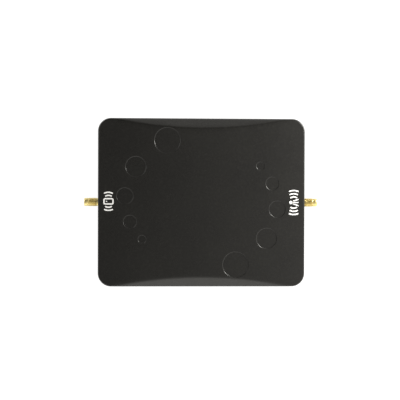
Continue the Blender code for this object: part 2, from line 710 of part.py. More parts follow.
def make_voltage_regulator(parent):
    """A five-legged power package with its metal tab soldered to the board."""
    length, width, height = REGULATOR_SIZE
    end = length / 2
    side = width / 2
    bm = bmesh.new()
    add_box(bm, (-end, -side, REGULATOR_STANDS), (end, side, REGULATOR_STANDS + height))
    body = add_mesh("voltage_regulator", bm, ((0.03, 0.03, 0.03), 0.5), parent, (*REGULATOR_AT, ON_BOARD))
    bm = bmesh.new()
    add_box(bm, (-end, side - OVERRUN, 0.0), (end, side + REGULATOR_TAB, REGULATOR_TAB_THICKNESS))
    fuse(body, add_mesh("voltage_regulator_tab", bm))
    bm = bmesh.new()
    half = REGULATOR_LEG_WIDTH / 2
    for leg in range(REGULATOR_LEGS):
        middle = (leg - (REGULATOR_LEGS - 1) / 2) * REGULATOR_LEG_PITCH
        add_box(bm, (middle - half, -side - REGULATOR_LEG_REACH, 0.0),
                (middle + half, -side + OVERRUN, REGULATOR_LEG_WIDTH))
    fuse(body, add_mesh("voltage_regulator_legs", bm))


def make_power_inductor(parent):
    board_block("power_inductor", INDUCTOR_AT, INDUCTOR_SIZE,
                ((0.06, 0.06, 0.065), 0.6), parent, chamfer=0.0008, radius=0.0020)


def make_board_parts(parent):
    make_duplexer("indoor_duplexer", -DUPLEXER_X, parent)
    make_duplexer("outdoor_duplexer", DUPLEXER_X, parent)
    for direction, towards in (("uplink", 1), ("downlink", -1)):
        y = towards * SIGNAL_PATH_Y
        make_shield_can(f"{direction}_shield_can", y, parent)
        make_amplifier_chain(direction, y, towards, parent)
    board_block("controller_chip", (0, 0), CONTROLLER_SIZE, ((0.02, 0.02, 0.022), 0.5), parent)
    board_block("crystal_oscillator", (CRYSTAL_X, 0), CRYSTAL_SIZE,
                ((0.72, 0.72, 0.70), 0.25, 1.0), parent, radius=0.0008)
    make_voltage_regulator(parent)
    make_power_inductor(parent)
    make_capacitor("input_capacitor", INPUT_CAPACITOR_X, parent)
    make_capacitor("output_capacitor", OUTPUT_CAPACITOR_X, parent)


def jack_point(depth, above_axis=0.0):
    """A point in the bore's middle plane, at a depth behind the nose's face."""
    return (-END_X + GAP + depth, JACK_Y, BOARD_TOP + JACK_AXIS_ABOVE_BOARD + above_axis)


def make_power_jack(parent):
    axis_z = BOARD_TOP + JACK_AXIS_ABOVE_BOARD
    block_front = -END_INSIDE_X + GAP
    turn = Matrix.Rotation(math.radians(90), 3, "Y")
    nose = block_front - jack_point(0)[0]

    bm = bmesh.new()
    add_box(bm, (block_front, JACK_Y - JACK_WIDTH / 2, ON_BOARD),
            (block_front + JACK_LENGTH, JACK_Y + JACK_WIDTH / 2, ON_BOARD + JACK_HEIGHT))
    housing = add_mesh("dc_jack_housing", bm, ((0.016, 0.016, 0.017), 0.45), parent)
    bm = bmesh.new()
    add_cylinder(bm, jack_point(0), JACK_NOSE_RADIUS, 0, nose + OVERRUN, steps=32, turn=turn)
    fuse(housing, add_mesh("dc_jack_nose", bm, smooth=True))
    bm = bmesh.new()
    add_cylinder(bm, jack_point(0), JACK_BORE_RADIUS, -OVERRUN, JACK_BORE_DEPTH, steps=32,
                 turn=turn)
    cut(housing, add_mesh("dc_jack_bore", bm))
    bm = bmesh.new()
    add_cylinder(bm, jack_point(0), JACK_PIN_RADIUS + GAP, JACK_BORE_DEPTH - OVERRUN,
                 nose + JACK_LENGTH + OVERRUN, steps=16, turn=turn)
    cut(housing, add_mesh("dc_jack_pin_hole", bm))

    # The leaf's channel is open towards the board.
    bm = bmesh.new()
    half = LEAF_WIDTH / 2 + GAP
    channel_top = axis_z - JACK_BORE_RADIUS + OVERRUN
    add_box(bm, (block_front + LEAF_CHANNEL_WALL, JACK_Y - half, ON_BOARD - OVERRUN),
            (block_front + JACK_LENGTH - LEAF_CHANNEL_WALL, JACK_Y + half, channel_top))
    cut(housing, add_mesh("dc_jack_leaf_channel", bm))

    bm = bmesh.new()
    tip = JACK_PIN_RADIUS * 0.5
    front = JACK_PIN_SET_BACK
    tab_end = nose + JACK_LENGTH + GAP + 1.5 * JACK_TAB_THICKNESS
    rear = tab_end + JACK_TAB_THICKNESS / 6
    add_turned(bm, [(0, front), (tip, front), (JACK_PIN_RADIUS, front + tip), (JACK_PIN_RADIUS, rear),
                    (0, rear)], steps=16)
    nickel = ((0.60, 0.58, 0.55), 0.28, 1.0)
    pin = add_mesh("dc_jack_centre_pin", bm, nickel, parent, jack_point(0), smooth=True)
    pin.rotation_euler = (0, math.radians(90), 0)

    # The tab reaches the board: the pin's own x points down.
    bm = bmesh.new()
    half = JACK_TAB_WIDTH / 2
    add_box(bm, (0, -half, tab_end - JACK_TAB_THICKNESS), (axis_z - ON_BOARD, half, tab_end))
    fuse(pin, add_mesh("dc_jack_pin_tab", bm))
    make_jack_spring(parent, nickel)


def make_jack_spring(parent, finish):
    """The sprung leaf that presses on the plug's sleeve; it bends at its rear end."""
    pivot_depth = JACK_BORE_DEPTH + 0.0030
    leaf_level = -JACK_BORE_RADIUS - LEAF_CREST_HEIGHT
    pivot = add_object("jack_spring_pivot", None, None, parent, jack_point(pivot_depth, leaf_level))

    # Centre line, from the foot on the board, over the pivot, to the free end
    crest = LEAF_TRAVEL + LEAF_CREST_HEIGHT - LEAF_THICKNESS / 2
    radius = LEAF_CREST_RADIUS
    foot = ON_BOARD + LEAF_THICKNESS / 2 - pivot.location.z
    line = [(0, foot), (0, 0), (-0.0030, 0), (-0.0055, crest * 0.45)]
    for step in range(5):
        angle = math.radians(60 + 15 * step)
        line.append((-0.0070 + radius * math.cos(angle), crest - radius * (1 - math.sin(angle))))
    line.append((-0.0098, 0))
    bm = bmesh.new()
    low_side = [bm.verts.new((x, -LEAF_WIDTH / 2, z)) for x, z in line]
    high_side = [bm.verts.new((x, LEAF_WIDTH / 2, z)) for x, z in line]
    for start in range(len(line) - 1):
        bm.faces.new((low_side[start], low_side[start + 1], high_side[start + 1], high_side[start]))
    leaf = add_mesh("dc_jack_sleeve_spring", bm, finish, pivot)
    sheet = leaf.modifiers.new("sheet", "SOLIDIFY")
    sheet.thickness = LEAF_THICKNESS
    sheet.offset = 0.0
    sheet.use_even_offset = True


def make_status_lights(parent):
    """Two LEDs on the board, each with a bent light pipe that ends flush in the end wall."""
    z = BOARD_TOP + LIGHT_PIPE_ABOVE_BOARD
    bend = LIGHT_PIPE_BEND
    led_x = -BOARD_LENGTH / 2 + LED_FROM_BOARD_END
    pipe_end = ON_BOARD + LED_SIZE[2] + GAP
    for number, y in enumerate(STATUS_LIGHT_Y, start=1):
        board_block(f"status_led_{number}", (led_x, y), LED_SIZE, ((0.85, 0.85, 0.78), 0.3), parent,
                    radius=0.0003)
        path = [(-END_X + LIGHT_PIPE_SET_BACK, z)]
        for step in range(7):
            angle = math.radians(90 * step / 6)
            path.append((led_x - bend + bend * math.sin(angle), z - bend + bend * math.cos(angle)))
        path.append((led_x, pipe_end))
        curve = bpy.data.curves.new(f"light_pipe_{number}", "CURVE")
        curve.dimensions = "3D"
        curve.bevel_depth = LIGHT_PIPE_RADIUS
        curve.bevel_resolution = 4
        curve.use_fill_caps = True
        spline = curve.splines.new("POLY")
        spline.points.add(len(path) - 1)
        for point, (x, height) in zip(spline.points, path):
            point.co = (x, y, height, 1.0)
        add_object(f"light_pipe_{number}", curve, ((0.80, 0.84, 0.86), 0.15), parent)


def make_heat_path(parent):
    """An aluminium plate on the base's floor, and a soft pad between it and the board."""
    plate_low = FLOOR_TOP + GAP
    plate_high = plate_low + PLATE_THICKNESS
    bm = bmesh.new()
    add_rounded_solid(bm, *PLATE_SIZE, 0.0030, [(plate_low, 0.0), (plate_high, 0.0)])
    add_mesh("heat_spreader_plate", bm, ((0.72, 0.73, 0.74), 0.35, 1.0), parent)
    bm = bmesh.new()
    add_rounded_solid(bm, *PAD_SIZE, 0.0015, [(plate_high + GAP, 0.0), (BOARD_UNDERSIDE - GAP, 0.0)])
    add_mesh("thermal_pad", bm, ((0.42, 0.48, 0.55), 0.8), parent)


def main():
    clear_scene()
    frame = add_object("booster_frame", None)
    make_base_cover(frame)
    make_top_cover(frame)
    make_fasteners(frame)
    make_rubber_feet(frame)
    make_rating_label(frame)
    make_main_board(frame)
    make_heat_path(frame)
    make_sma_jack("indoor", -1, frame)
    make_sma_jack("outdoor", 1, frame)
    make_board_parts(frame)
    make_power_jack(frame)
    make_status_lights(frame)


main()
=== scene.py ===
from functools import partial
import json
import math

import bmesh
import bpy
from mathutils import Matrix, Vector
from mathutils.geometry import delaunay_2d_cdt


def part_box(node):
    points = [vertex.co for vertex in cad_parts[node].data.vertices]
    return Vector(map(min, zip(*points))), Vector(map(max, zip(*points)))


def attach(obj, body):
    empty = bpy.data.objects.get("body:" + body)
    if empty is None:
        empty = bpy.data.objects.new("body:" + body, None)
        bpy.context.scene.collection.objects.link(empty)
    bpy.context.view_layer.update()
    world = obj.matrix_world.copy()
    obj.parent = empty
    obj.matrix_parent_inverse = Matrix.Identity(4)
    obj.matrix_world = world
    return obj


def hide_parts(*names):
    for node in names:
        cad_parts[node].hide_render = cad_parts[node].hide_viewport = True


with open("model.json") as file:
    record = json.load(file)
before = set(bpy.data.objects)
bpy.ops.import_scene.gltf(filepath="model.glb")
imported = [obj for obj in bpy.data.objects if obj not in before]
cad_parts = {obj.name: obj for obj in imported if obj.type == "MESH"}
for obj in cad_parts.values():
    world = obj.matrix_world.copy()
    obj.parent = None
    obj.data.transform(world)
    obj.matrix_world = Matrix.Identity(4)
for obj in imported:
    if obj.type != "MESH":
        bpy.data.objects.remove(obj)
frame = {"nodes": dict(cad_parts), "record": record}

MM = 0.001
RIGHT_ANGLE = math.radians(90)
SHARP = math.radians(38)
CORNERS = ((1, 1), (-1, 1), (-1, -1), (1, -1))
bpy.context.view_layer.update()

# The case, in the frame's own places. The shape constants repeat the CAD design. The visual top adds a
# rounded rim and a soft crease, and its recesses are shallower, with sloping walls.
TOP_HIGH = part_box("top_cover")[1]
BASE_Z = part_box("base_cover")[0].z
END_X = TOP_HIGH.x
SIDE_Y = TOP_HIGH.y
CORNER_RADIUS = 9.4 * MM
CORNER_X = END_X - CORNER_RADIUS
CORNER_Y = SIDE_Y - CORNER_RADIUS
WALL = 2.2 * MM
CROWN_RISE = 6.1 * MM
ARCH_HALF_SPAN = 64.5 * MM
FLANK_ANGLE = math.radians(40)
CROWN_Z = TOP_HIGH.z
RIM_Z = CROWN_Z - CROWN_RISE
ARCH_RADIUS = (ARCH_HALF_SPAN ** 2 + CROWN_RISE ** 2) / (2 * CROWN_RISE)
ARCH_CENTRE_Z = CROWN_Z - ARCH_RADIUS
PARTING_Z = 9.8 * MM
GAP = 0.3 * MM
PARTING_LIP = 0.15 * MM
TONGUE = 0.9 * MM
TONGUE_HEIGHT = 0.8 * MM
EDGE_FILLET = 1.0 * MM
FILLET_STEPS = 6
CREASE_SOFTNESS = 0.9 * MM
RECESS_DEPTH = 0.3 * MM
RECESS_WALL = 0.4 * MM
# How steep a recess's wall is at its rim, against its average.
RIM_STEEPNESS = 0.66
RECESS_CENTRE_X = -0.5 * MM
# The outdoor half's recesses: x and y from the pattern's centre, and radius. The indoor half has the same,
# turned about that centre.
RECESSES = (
    (24.6 * MM, -44.6 * MM, 9.5 * MM),
    (47.2 * MM, -25.7 * MM, 7.6 * MM),
    (55.0 * MM, -4.6 * MM, 6.2 * MM),
    (51.3 * MM, 13.9 * MM, 5.0 * MM),
    (42.6 * MM, 26.5 * MM, 3.2 * MM),
)
ALL_RECESSES = tuple((RECESS_CENTRE_X + side * x, side * y, radius)
                     for side in (1, -1) for x, y, radius in RECESSES)


# ---- mesh helpers

def add_piece(name, mesh, slot, replaces=None, finish=None, at=(0, 0, 0)):
    """A finished piece on the booster's body, in place of a CAD node where one is named."""
    if not mesh.users:
        mesh.name = name
    made = bpy.data.objects.new(name, mesh)
    bpy.context.scene.collection.objects.link(made)
    made.location = at
    mesh.shade_smooth()
    mesh.set_sharp_from_angle(angle=SHARP)
    mesh.materials.clear()
    mesh.materials.append(finish_for(finish or slot))
    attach(made, "booster")
    if replaces:
        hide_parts(replaces)
    return made


def mesh_from_bmesh(bm, place=None, merge=1e-7):
    if place is not None:
        bmesh.ops.transform(bm, matrix=place, verts=bm.verts)
    bmesh.ops.remove_doubles(bm, verts=bm.verts, dist=merge)
    bmesh.ops.recalc_face_normals(bm, faces=bm.faces)
    mesh = bpy.data.meshes.new("mesh")
    bm.to_mesh(mesh)
    bm.free()
    return mesh


def join(mesh):
    return mesh, "UNION"


def cut(mesh):
    return mesh, "DIFFERENCE"


def combined(mesh, steps):
    """mesh after Boolean steps, each made by join or cut."""
    target = bpy.data.objects.new("target", mesh)
    bpy.context.scene.collection.objects.link(target)
    used = [target]
    for other_mesh, operation in steps:
        other = bpy.data.objects.new("step", other_mesh)
        bpy.context.scene.collection.objects.link(other)
        used.append(other)
        step = target.modifiers.new("step", "BOOLEAN")
        step.solver = "EXACT"
        step.operation = operation
        step.object = other
    bpy.context.view_layer.update()
    graph = bpy.context.evaluated_depsgraph_get()
    result = bpy.data.meshes.new_from_object(target.evaluated_get(graph))
    for old in used:
        bpy.data.objects.remove(old, do_unlink=True)
    return result


def polar(radius, angle, centre=(0.0, 0.0)):
    return centre[0] + radius * math.cos(angle), centre[1] + radius * math.sin(angle)


def circle(radius, steps, centre=(0.0, 0.0)):
    return [polar(radius, 2 * math.pi * step / steps, centre) for step in range(steps)]


def arc(radius, start, sweep, steps, centre=(0.0, 0.0)):
    return [polar(radius, start + sweep * step / steps, centre) for step in range(steps + 1)]


def quarter_turn(steps):
    """Even angles from 0 to 90 degrees."""
    return [RIGHT_ANGLE * step / steps for step in range(steps + 1)]


def straight(start, end, steps):
    shares = [step / steps for step in range(steps + 1)]
    return [(start[0] + (end[0] - start[0]) * share, start[1] + (end[1] - start[1]) * share)
            for share in shares]


def at_corners(place):
    """One place in each quarter of the case."""
    return [(sx * place[0], sy * place[1]) for sx, sy in CORNERS]


def rounded_rectangle(corner_x, corner_y, radius, corner_steps, x_steps=1, y_steps=1):
    """Points round a rectangle with round corners, whose arcs are centred on (corner_x, corner_y)."""
    points = []
    centres = at_corners((corner_x, corner_y))
    for quarter, centre in enumerate(centres):
        points += [polar(radius, RIGHT_ANGLE * (quarter + step / corner_steps), centre)
                   for step in range(corner_steps + 1)]
        end = polar(radius, RIGHT_ANGLE * (quarter + 1), centres[(quarter + 1) % 4])
        steps = y_steps if quarter % 2 else x_steps
        points += straight(points[-1], end, steps)[1:-1]
    return points


def add_box(bm, low, high):
    low = Vector(low)
    high = Vector(high)
    place = Matrix.Translation((low + high) / 2) @ Matrix.Diagonal((*(high - low), 1.0))
    bmesh.ops.create_cube(bm, size=1.0, matrix=place)


def box_mesh(low, high, place=None, bevel=0.0):
    bm = bmesh.new()
    add_box(bm, low, high)
    if bevel:
        bmesh.ops.bevel(bm, geom=bm.edges[:], offset=bevel, segments=3, profile=0.5, affect="EDGES")
    return mesh_from_bmesh(bm, place)


def turned_mesh(profile, place=None, steps=48, closed=False):
    """(radius, z) points turned about Z: an open line with its ends on the axis, or a closed loop off it."""
    bm = bmesh.new()
    points = [bm.verts.new((radius, 0, z)) for radius, z in profile]
    following = points[1:] + points[:1] if closed else points[1:]
    edges = [bm.edges.new(pair) for pair in zip(points, following)]
    bmesh.ops.spin(bm, geom=points + edges, cent=(0, 0, 0), axis=(0, 0, 1),
                   angle=2 * math.pi, steps=steps, use_merge=True)
    return mesh_from_bmesh(bm, place)


def add_loft(bm, rings, looped=False):
    """Skin rings of points, each with the same count, and close both ends, or join them if looped."""
    rings = [[bm.verts.new(point) for point in ring] for ring in rings]
    following = rings[1:] + rings[:1] if looped else rings[1:]
    for lower, upper in zip(rings, following):
        for start in range(len(lower)):
            end = (start + 1) % len(lower)
            bm.faces.new((lower[start], lower[end], upper[end], upper[start]))
    if not looped:
        bm.faces.new(rings[0])
        bm.faces.new(rings[-1])


def loft_mesh(rings, place=None):
    bm = bmesh.new()
    add_loft(bm, rings)
    return mesh_from_bmesh(bm, place)


def threaded_mesh(rows, pitch, depth, steps, place=None):
    """A rod with a right-hand thread: rows are (z, root radius, share of the thread's full depth)."""
    crest_end = 0.25
    root_start = 0.85
    rings = []
    for z, root, share in rows:
        ring = []
        for step in range(steps):
            from_crest = abs((z / pitch - step / steps) % 1.0 - 0.5) * 2
            height = min(max((root_start - from_crest) / (root_start - crest_end), 0.0), 1.0)
            x, y = polar(root + depth * share * height, 2 * math.pi * step / steps)
            ring.append((x, y, z))
        rings.append(ring)
    return loft_mesh(rings, place)


def smooth_step(value):
    value = min(max(value, 0.0), 1.0)
    return value * value * (3 - 2 * value)


def thread_rows(root, start, last, end, pitch, rise):
    """Rows up to last of a thread that grows over a turn from start and fades over a turn before end."""
    rows = []
    z = start
    while z < last:
        z += rise
        rows.append((z, root, smooth_step((z - start) / pitch) * smooth_step((end - z) / pitch)))
    return rows


def along_x(x, y, z, side=1):
    """A placing matrix whose Z points along X, outwards on that side."""
    return Matrix.Translation((x, y, z)) @ Matrix.Rotation(side * RIGHT_ANGLE, 4, "Y")


def outline(inset):
    """The case's rounded rectangle, moved inwards by inset: always the same number of points."""
    spacing = 2.0 * MM
    return rounded_rectangle(CORNER_X, CORNER_Y, CORNER_RADIUS - inset, 16,
                             round(2 * CORNER_X / spacing), round(2 * CORNER_Y / spacing))


def edge_distance(x, y):
    """How far (x, y) lies inside the case's outline."""
    qx = abs(x) - CORNER_X
    qy = abs(y) - CORNER_Y
    outside = math.hypot(max(qx, 0.0), max(qy, 0.0)) + min(max(qx, qy), 0.0)
    return CORNER_RADIUS - outside


# ---- the top's shape

def arch_height(x, inset=0.0):
    radius = ARCH_RADIUS - inset
    return ARCH_CENTRE_Z + math.sqrt(radius ** 2 - x ** 2)


def flank_height(y, inset=0.0):
    return RIM_Z + (SIDE_Y - abs(y)) * math.tan(FLANK_ANGLE) - inset / math.cos(FLANK_ANGLE)


def shell_height(x, y, inset=0.0):
    """The arch and the sloping flanks, whichever is lower, with a soft crease between them."""
    arch = arch_height(x, inset)
    flank = flank_height(y, inset)
    near = max(CREASE_SOFTNESS - abs(arch - flank), 0.0) / CREASE_SOFTNESS
    return min(arch, flank) - near * near * CREASE_SOFTNESS / 4


def recess_at(x, y):
    deepest = 0.0
    for cx, cy, radius in ALL_RECESSES:
        inward = radius - math.hypot(x - cx, y - cy)
        if inward > 0:
            across = min(inward / RECESS_WALL, 1.0)
            deepest = max(deepest, RECESS_DEPTH * across * (RIM_STEEPNESS + (1 - RIM_STEEPNESS) * across))
    return deepest


def top_height(x, y):
    """The finished top: shell, rounded rim and recesses."""
    from_edge = min(max(edge_distance(x, y), 0.0), EDGE_FILLET)
    drop = EDGE_FILLET - math.sqrt(EDGE_FILLET ** 2 - (EDGE_FILLET - from_edge) ** 2)
    return shell_height(x, y) - drop - recess_at(x, y)


class PlanMesh:
    """Points and constraint lines in plan, triangulated and raised by a height function."""

    def __init__(self):
        self.points = []
        self.edges = []

    def add_loop(self, loop, closed=True):
        first = len(self.points)
        self.points += [Vector(point) for point in loop]
        count = len(loop)
        for step in range(count if closed else count - 1):
            self.edges.append((first + step, first + (step + 1) % count))
        return list(range(first, first + count))

    def add_net(self, spacing, squash, stagger, wanted):
        """Even rows of points over the case, squash closer than spacing, where wanted(x, y) is true."""
        rows = int(SIDE_Y / (spacing * squash))
        columns = int(END_X / spacing)
        for row in range(-rows, rows + 1):
            for column in range(-columns, columns + 1):
                x = (column + stagger * (row % 2)) * spacing
                y = row * spacing * squash
                if wanted(x, y):
                    self.points.append(Vector((x, y)))

    def triangulate(self):
        made = delaunay_2d_cdt(self.points, self.edges, [], 0, 1e-8)
        where = {}
        for new, sources in enumerate(made[3]):
            for source in sources:
                where[source] = new
        return [tuple(point) for point in made[0]], [list(face) for face in made[2]], where


def in_recess_band(x, y, margin):
    return any(abs(math.hypot(x - cx, y - cy) - radius) < margin for cx, cy, radius in ALL_RECESSES)


def add_crease_lines(plan):
    """Lines along both creases between arch and flanks, apart from where a recess's rim crosses them."""
    crease_step = 1.5 * MM
    rim_margin = 0.9 * MM
    for side in (1, -1):
        for offset in (-0.9 * MM, -0.45 * MM, 0.0, 0.45 * MM, 0.9 * MM):
            run = []
            x = -ARCH_HALF_SPAN
            while x <= ARCH_HALF_SPAN:
                y = side * (SIDE_Y - (arch_height(x) - RIM_Z) / math.tan(FLANK_ANGLE) + offset)
                if edge_distance(x, y) > EDGE_FILLET * 2 and not in_recess_band(x, y, rim_margin):
                    run.append((x, y))
                elif run:
                    plan.add_loop(run, closed=False)
                    run = []
                x += crease_step
            if run:
                plan.add_loop(run, closed=False)


def plan_of_top():
    """Lines that follow every fillet and recess wall, and an even net between them."""
    plan = PlanMesh()
    rim_rows = [plan.add_loop(outline(EDGE_FILLET * (1 - math.cos(angle))))
                for angle in quarter_turn(FILLET_STEPS)]
    inside_rim = EDGE_FILLET * 1.7
    plan.add_loop(outline(inside_rim))

    fewest_steps = 44
    rim_spacing = 0.65 * MM
    for cx, cy, radius in ALL_RECESSES:
        steps = max(fewest_steps, int(2 * math.pi * radius / rim_spacing))
        for share in (-0.5, 0.0, 0.17, 0.34, 0.5, 0.66, 0.83, 1.0, 1.5):
            plan.add_loop(circle(radius - share * RECESS_WALL, steps, (cx, cy)))
    add_crease_lines(plan)

    spacing = 2.6 * MM
    recess_margin = 1.2 * MM
    crease_margin = 1.6 * MM

    def clear(x, y):
        return (edge_distance(x, y) >= inside_rim + spacing * 0.5 and not in_recess_band(x, y, recess_margin)
                and abs(arch_height(x) - flank_height(y)) >= crease_margin)

    plan.add_net(spacing, 0.87, 0.5, clear)
    return plan, rim_rows[0]


def fine_top_cover():
    """A closed shell: fine outside, plain inside, open below."""
    plan, outer = plan_of_top()
    flat, faces, where = plan.triangulate()
    verts = [(x, y, top_height(x, y)) for x, y in flat]

    def add_ring(inset, height):
        first = len(verts)
        for x, y in outline(inset):
            verts.append((x, y, height(x, y) if callable(height) else height))
        return list(range(first, len(verts)))

    def bridge(upper, lower):
        count = len(upper)
        for start in range(count):
            end = (start + 1) % count
            faces.append([upper[start], lower[start], lower[end], upper[end]])

    bottom = PARTING_Z + GAP / 2
    below_rim = 0.5 * MM
    above_bottom = 0.8 * MM
    rebate = WALL - TONGUE - GAP
    rebate_top = PARTING_Z + TONGUE_HEIGHT + GAP
    rings = [
        [where[index] for index in outer],
        add_ring(0.0, lambda x, y: top_height(x, y) - below_rim),
        add_ring(0.0, bottom + above_bottom),
        add_ring(0.0, bottom + PARTING_LIP),
        add_ring(PARTING_LIP, bottom),
        add_ring(rebate, bottom),
        add_ring(rebate, rebate_top),
        add_ring(WALL, rebate_top),
    ]
    for upper, lower in zip(rings, rings[1:]):
        bridge(upper, lower)

    inside = PlanMesh()
    inner = inside.add_loop(outline(WALL))
    inside.add_net(6 * MM, 1, 0, lambda x, y: edge_distance(x, y) > WALL + 2 * MM)
    inner_flat, inner_faces, inner_where = inside.triangulate()
    first = len(verts)
    verts.extend((x, y, shell_height(x, y, WALL)) for x, y in inner_flat)
    faces.extend([first + index for index in reversed(face)] for face in inner_faces)
    bridge(rings[-1], [first + inner_where[index] for index in inner])

    mesh = bpy.data.meshes.new("flat")
    mesh.from_pydata(verts, [], faces)
    bm = bmesh.new()
    bm.from_mesh(mesh)
    bpy.data.meshes.remove(mesh)
    return mesh_from_bmesh(bm, merge=1e-8)


# ---- materials

def maths_node(tree, operation, *values):
    """A maths node on numbers and other nodes' outputs."""
    node = tree.nodes.new("ShaderNodeMath")
    node.operation = operation
    for value, socket in zip(values, node.inputs):
        if isinstance(value, (int, float)):
            socket.default_value = value
        else:
            tree.links.new(value, socket)
    return node.outputs["Value"]


class Finish:
    """A Principled material and short calls that add the nodes it is built from."""

    def __init__(self, name, **shader_values):
        self.material = bpy.data.materials.new(name)
        self.material.use_nodes = True
        self.tree = self.material.node_tree
        self.shader = self.tree.nodes["Principled BSDF"]
        for socket, value in shader_values.items():
            self.shader.inputs[socket.replace("_", " ")].default_value = value
        self.place = self.tree.nodes.new("ShaderNodeTexCoord").outputs["Object"]

    def link(self, source, socket):
        self.tree.links.new(source, socket)

    def noise(self, size, detail=3.0, rough=0.5, scale=(1, 1, 1)):
        """Noise whose features are about size metres across, divided by scale on each axis."""
        mapping = self.tree.nodes.new("ShaderNodeMapping")
        mapping.inputs["Scale"].default_value = scale
        self.link(self.place, mapping.inputs["Vector"])
        node = self.tree.nodes.new("ShaderNodeTexNoise")
        node.inputs["Scale"].default_value = 1.0 / size
        node.inputs["Detail"].default_value = detail
        node.inputs["Roughness"].default_value = rough
        self.link(mapping.outputs["Vector"], node.inputs["Vector"])
        return node.outputs["Fac"]

    def spread(self, source, low, high, from_low=0.3, from_high=0.7):
        """source, taken from its own range to low..high."""
        node = self.tree.nodes.new("ShaderNodeMapRange")
        node.inputs["From Min"].default_value = from_low
        node.inputs["From Max"].default_value = from_high
        node.inputs["To Min"].default_value = low
        node.inputs["To Max"].default_value = high
        self.link(source, node.inputs["Value"])
        return node.outputs["Result"]

    def maths(self, operation, first, second):
        return maths_node(self.tree, operation, first, second)

    def colours(self, source, stops):
        """A colour ramp: stops are (position, (red, green, blue)) pairs."""
        node = self.tree.nodes.new("ShaderNodeValToRGB")
        ramp = node.color_ramp
        while len(ramp.elements) < len(stops):
            ramp.elements.new(0.5)
        for element, (position, colour) in zip(ramp.elements, stops):
            element.position = position
            element.color = (*colour, 1.0)
        self.link(source, node.inputs["Fac"])
        return node.outputs["Color"]

    def mixed(self, share, source, colour):
        """source where share is 0, and colour where it is 1."""
        node = self.tree.nodes.new("ShaderNodeMix")
        node.data_type = "RGBA"
        self.link(share, node.inputs["Factor"])
        self.link(source, node.inputs[6])
        node.inputs[7].default_value = (*colour, 1.0)
        return node.outputs[2]

    def colour(self, source):
        self.link(source, self.shader.inputs["Base Color"])

    def roughness(self, source):
        self.link(source, self.shader.inputs["Roughness"])

    def bump(self, height, depth, strength):
        """height in 0..1 stands for depth metres; bumps stack in the order they are added."""
        node = self.tree.nodes.new("ShaderNodeBump")
        node.inputs["Strength"].default_value = strength
        node.inputs["Distance"].default_value = depth
        self.link(height, node.inputs["Height"])
        normal = self.shader.inputs["Normal"]
        if normal.is_linked:
            self.link(normal.links[0].from_socket, node.inputs["Normal"])
        self.link(node.outputs["Normal"], normal)


def case_plastic(name):
    """Warm satin black plastic with a fine moulded grain, a little handling wear and dust."""
    made = Finish(name, IOR=1.375)
    broad = made.noise(30 * MM, detail=4)
    grain = made.noise(0.32 * MM, detail=2, rough=0.6)
    mottle = made.noise(1.6 * MM)
    black = made.colours(broad, [(0.3, (0.0074, 0.0070, 0.0063)), (0.7, (0.0096, 0.0092, 0.0081))])
    dusty = made.maths("MULTIPLY", made.spread(mottle, 0.0, 0.10, 0.45, 0.75), grain)
    made.colour(made.mixed(dusty, black, (0.10, 0.098, 0.09)))
    rubbed = made.spread(made.noise(9 * MM, detail=5, rough=0.6), 0.27, 0.32)
    made.roughness(made.maths("ADD", rubbed, made.spread(grain, -0.03, 0.03)))
    made.bump(grain, 0.010 * MM, 0.55)
    made.bump(mottle, 0.006 * MM, 0.4)
    return made.material


def base_plastic(name):
    """The base's duller black, with a coarser spark-eroded grain."""
    made = Finish(name, IOR=1.40)
    broad = made.noise(22 * MM, detail=4)
    grain = made.noise(0.45 * MM, rough=0.6)
    made.colour(made.colours(broad, [(0.3, (0.0082, 0.0078, 0.0071)), (0.7, (0.0112, 0.0107, 0.0098))]))
    rubbed = made.spread(made.noise(8 * MM, detail=5), 0.44, 0.54)
    made.roughness(made.maths("ADD", rubbed, made.spread(grain, -0.04, 0.04)))
    made.bump(grain, 0.018 * MM, 0.6)
    return made.material


def gold_plate(name):
    """Polished gold plating over turned brass: fine turning lines round the jack's axis."""
    made = Finish(name, Metallic=1.0)
    tarnish = made.noise(2.5 * MM, detail=4)
    made.colour(made.colours(tarnish, [(0.30, (0.67, 0.53, 0.205)), (0.55, (0.75, 0.625, 0.28)),
                                       (0.75, (0.81, 0.70, 0.35))]))
    turning = made.noise(0.10 * MM, detail=2, scale=(1.0, 0.02, 0.02))
    made.roughness(made.maths("ADD", made.spread(tarnish, 0.24, 0.33), made.spread(turning, -0.03, 0.05)))
    made.bump(turning, 0.004 * MM, 0.4)
    return made.material


def board_laminate(name):
    """Green solder mask over woven glass, with the copper below showing as lighter runs."""
    made = Finish(name, Coat_Weight=0.3)
    runs = made.noise(2.2 * MM, detail=1, scale=(1.0, 0.25, 1.0))
    made.colour(made.colours(runs, [(0.48, (0.006, 0.050, 0.025)), (0.52, (0.014, 0.110, 0.055))]))
    made.roughness(made.spread(made.noise(0.8 * MM), 0.28, 0.45))
    made.bump(runs, 0.02 * MM, 0.5)
    return made.material


def brushed_metal(name, dark, light, rough, scale=(0.06, 1.0, 1.0)):
    made = Finish(name, Metallic=1.0)
    lines = made.noise(0.25 * MM, scale=scale)
    cloud = made.noise(5 * MM, detail=4)
    made.colour(made.colours(cloud, [(0.3, dark), (0.7, light)]))
    made.roughness(made.maths("ADD", made.spread(cloud, rough - 0.05, rough + 0.05),
                              made.spread(lines, -0.05, 0.06)))
    made.bump(lines, 0.004 * MM, 0.4)
    return made.material


def moulding(name, dark, light, patch, rough, rough_patch, grain, depth, strength, detail=3.0,
             stops=(0.3, 0.7), **shader_values):
    """Colour that drifts over patches, roughness that drifts over its own, and a bumped grain."""
    made = Finish(name, **shader_values)
    made.colour(made.colours(made.noise(patch, detail), list(zip(stops, (dark, light)))))
    made.roughness(made.spread(made.noise(rough_patch), *rough))
    made.bump(made.noise(grain), depth, strength)
    return made.material


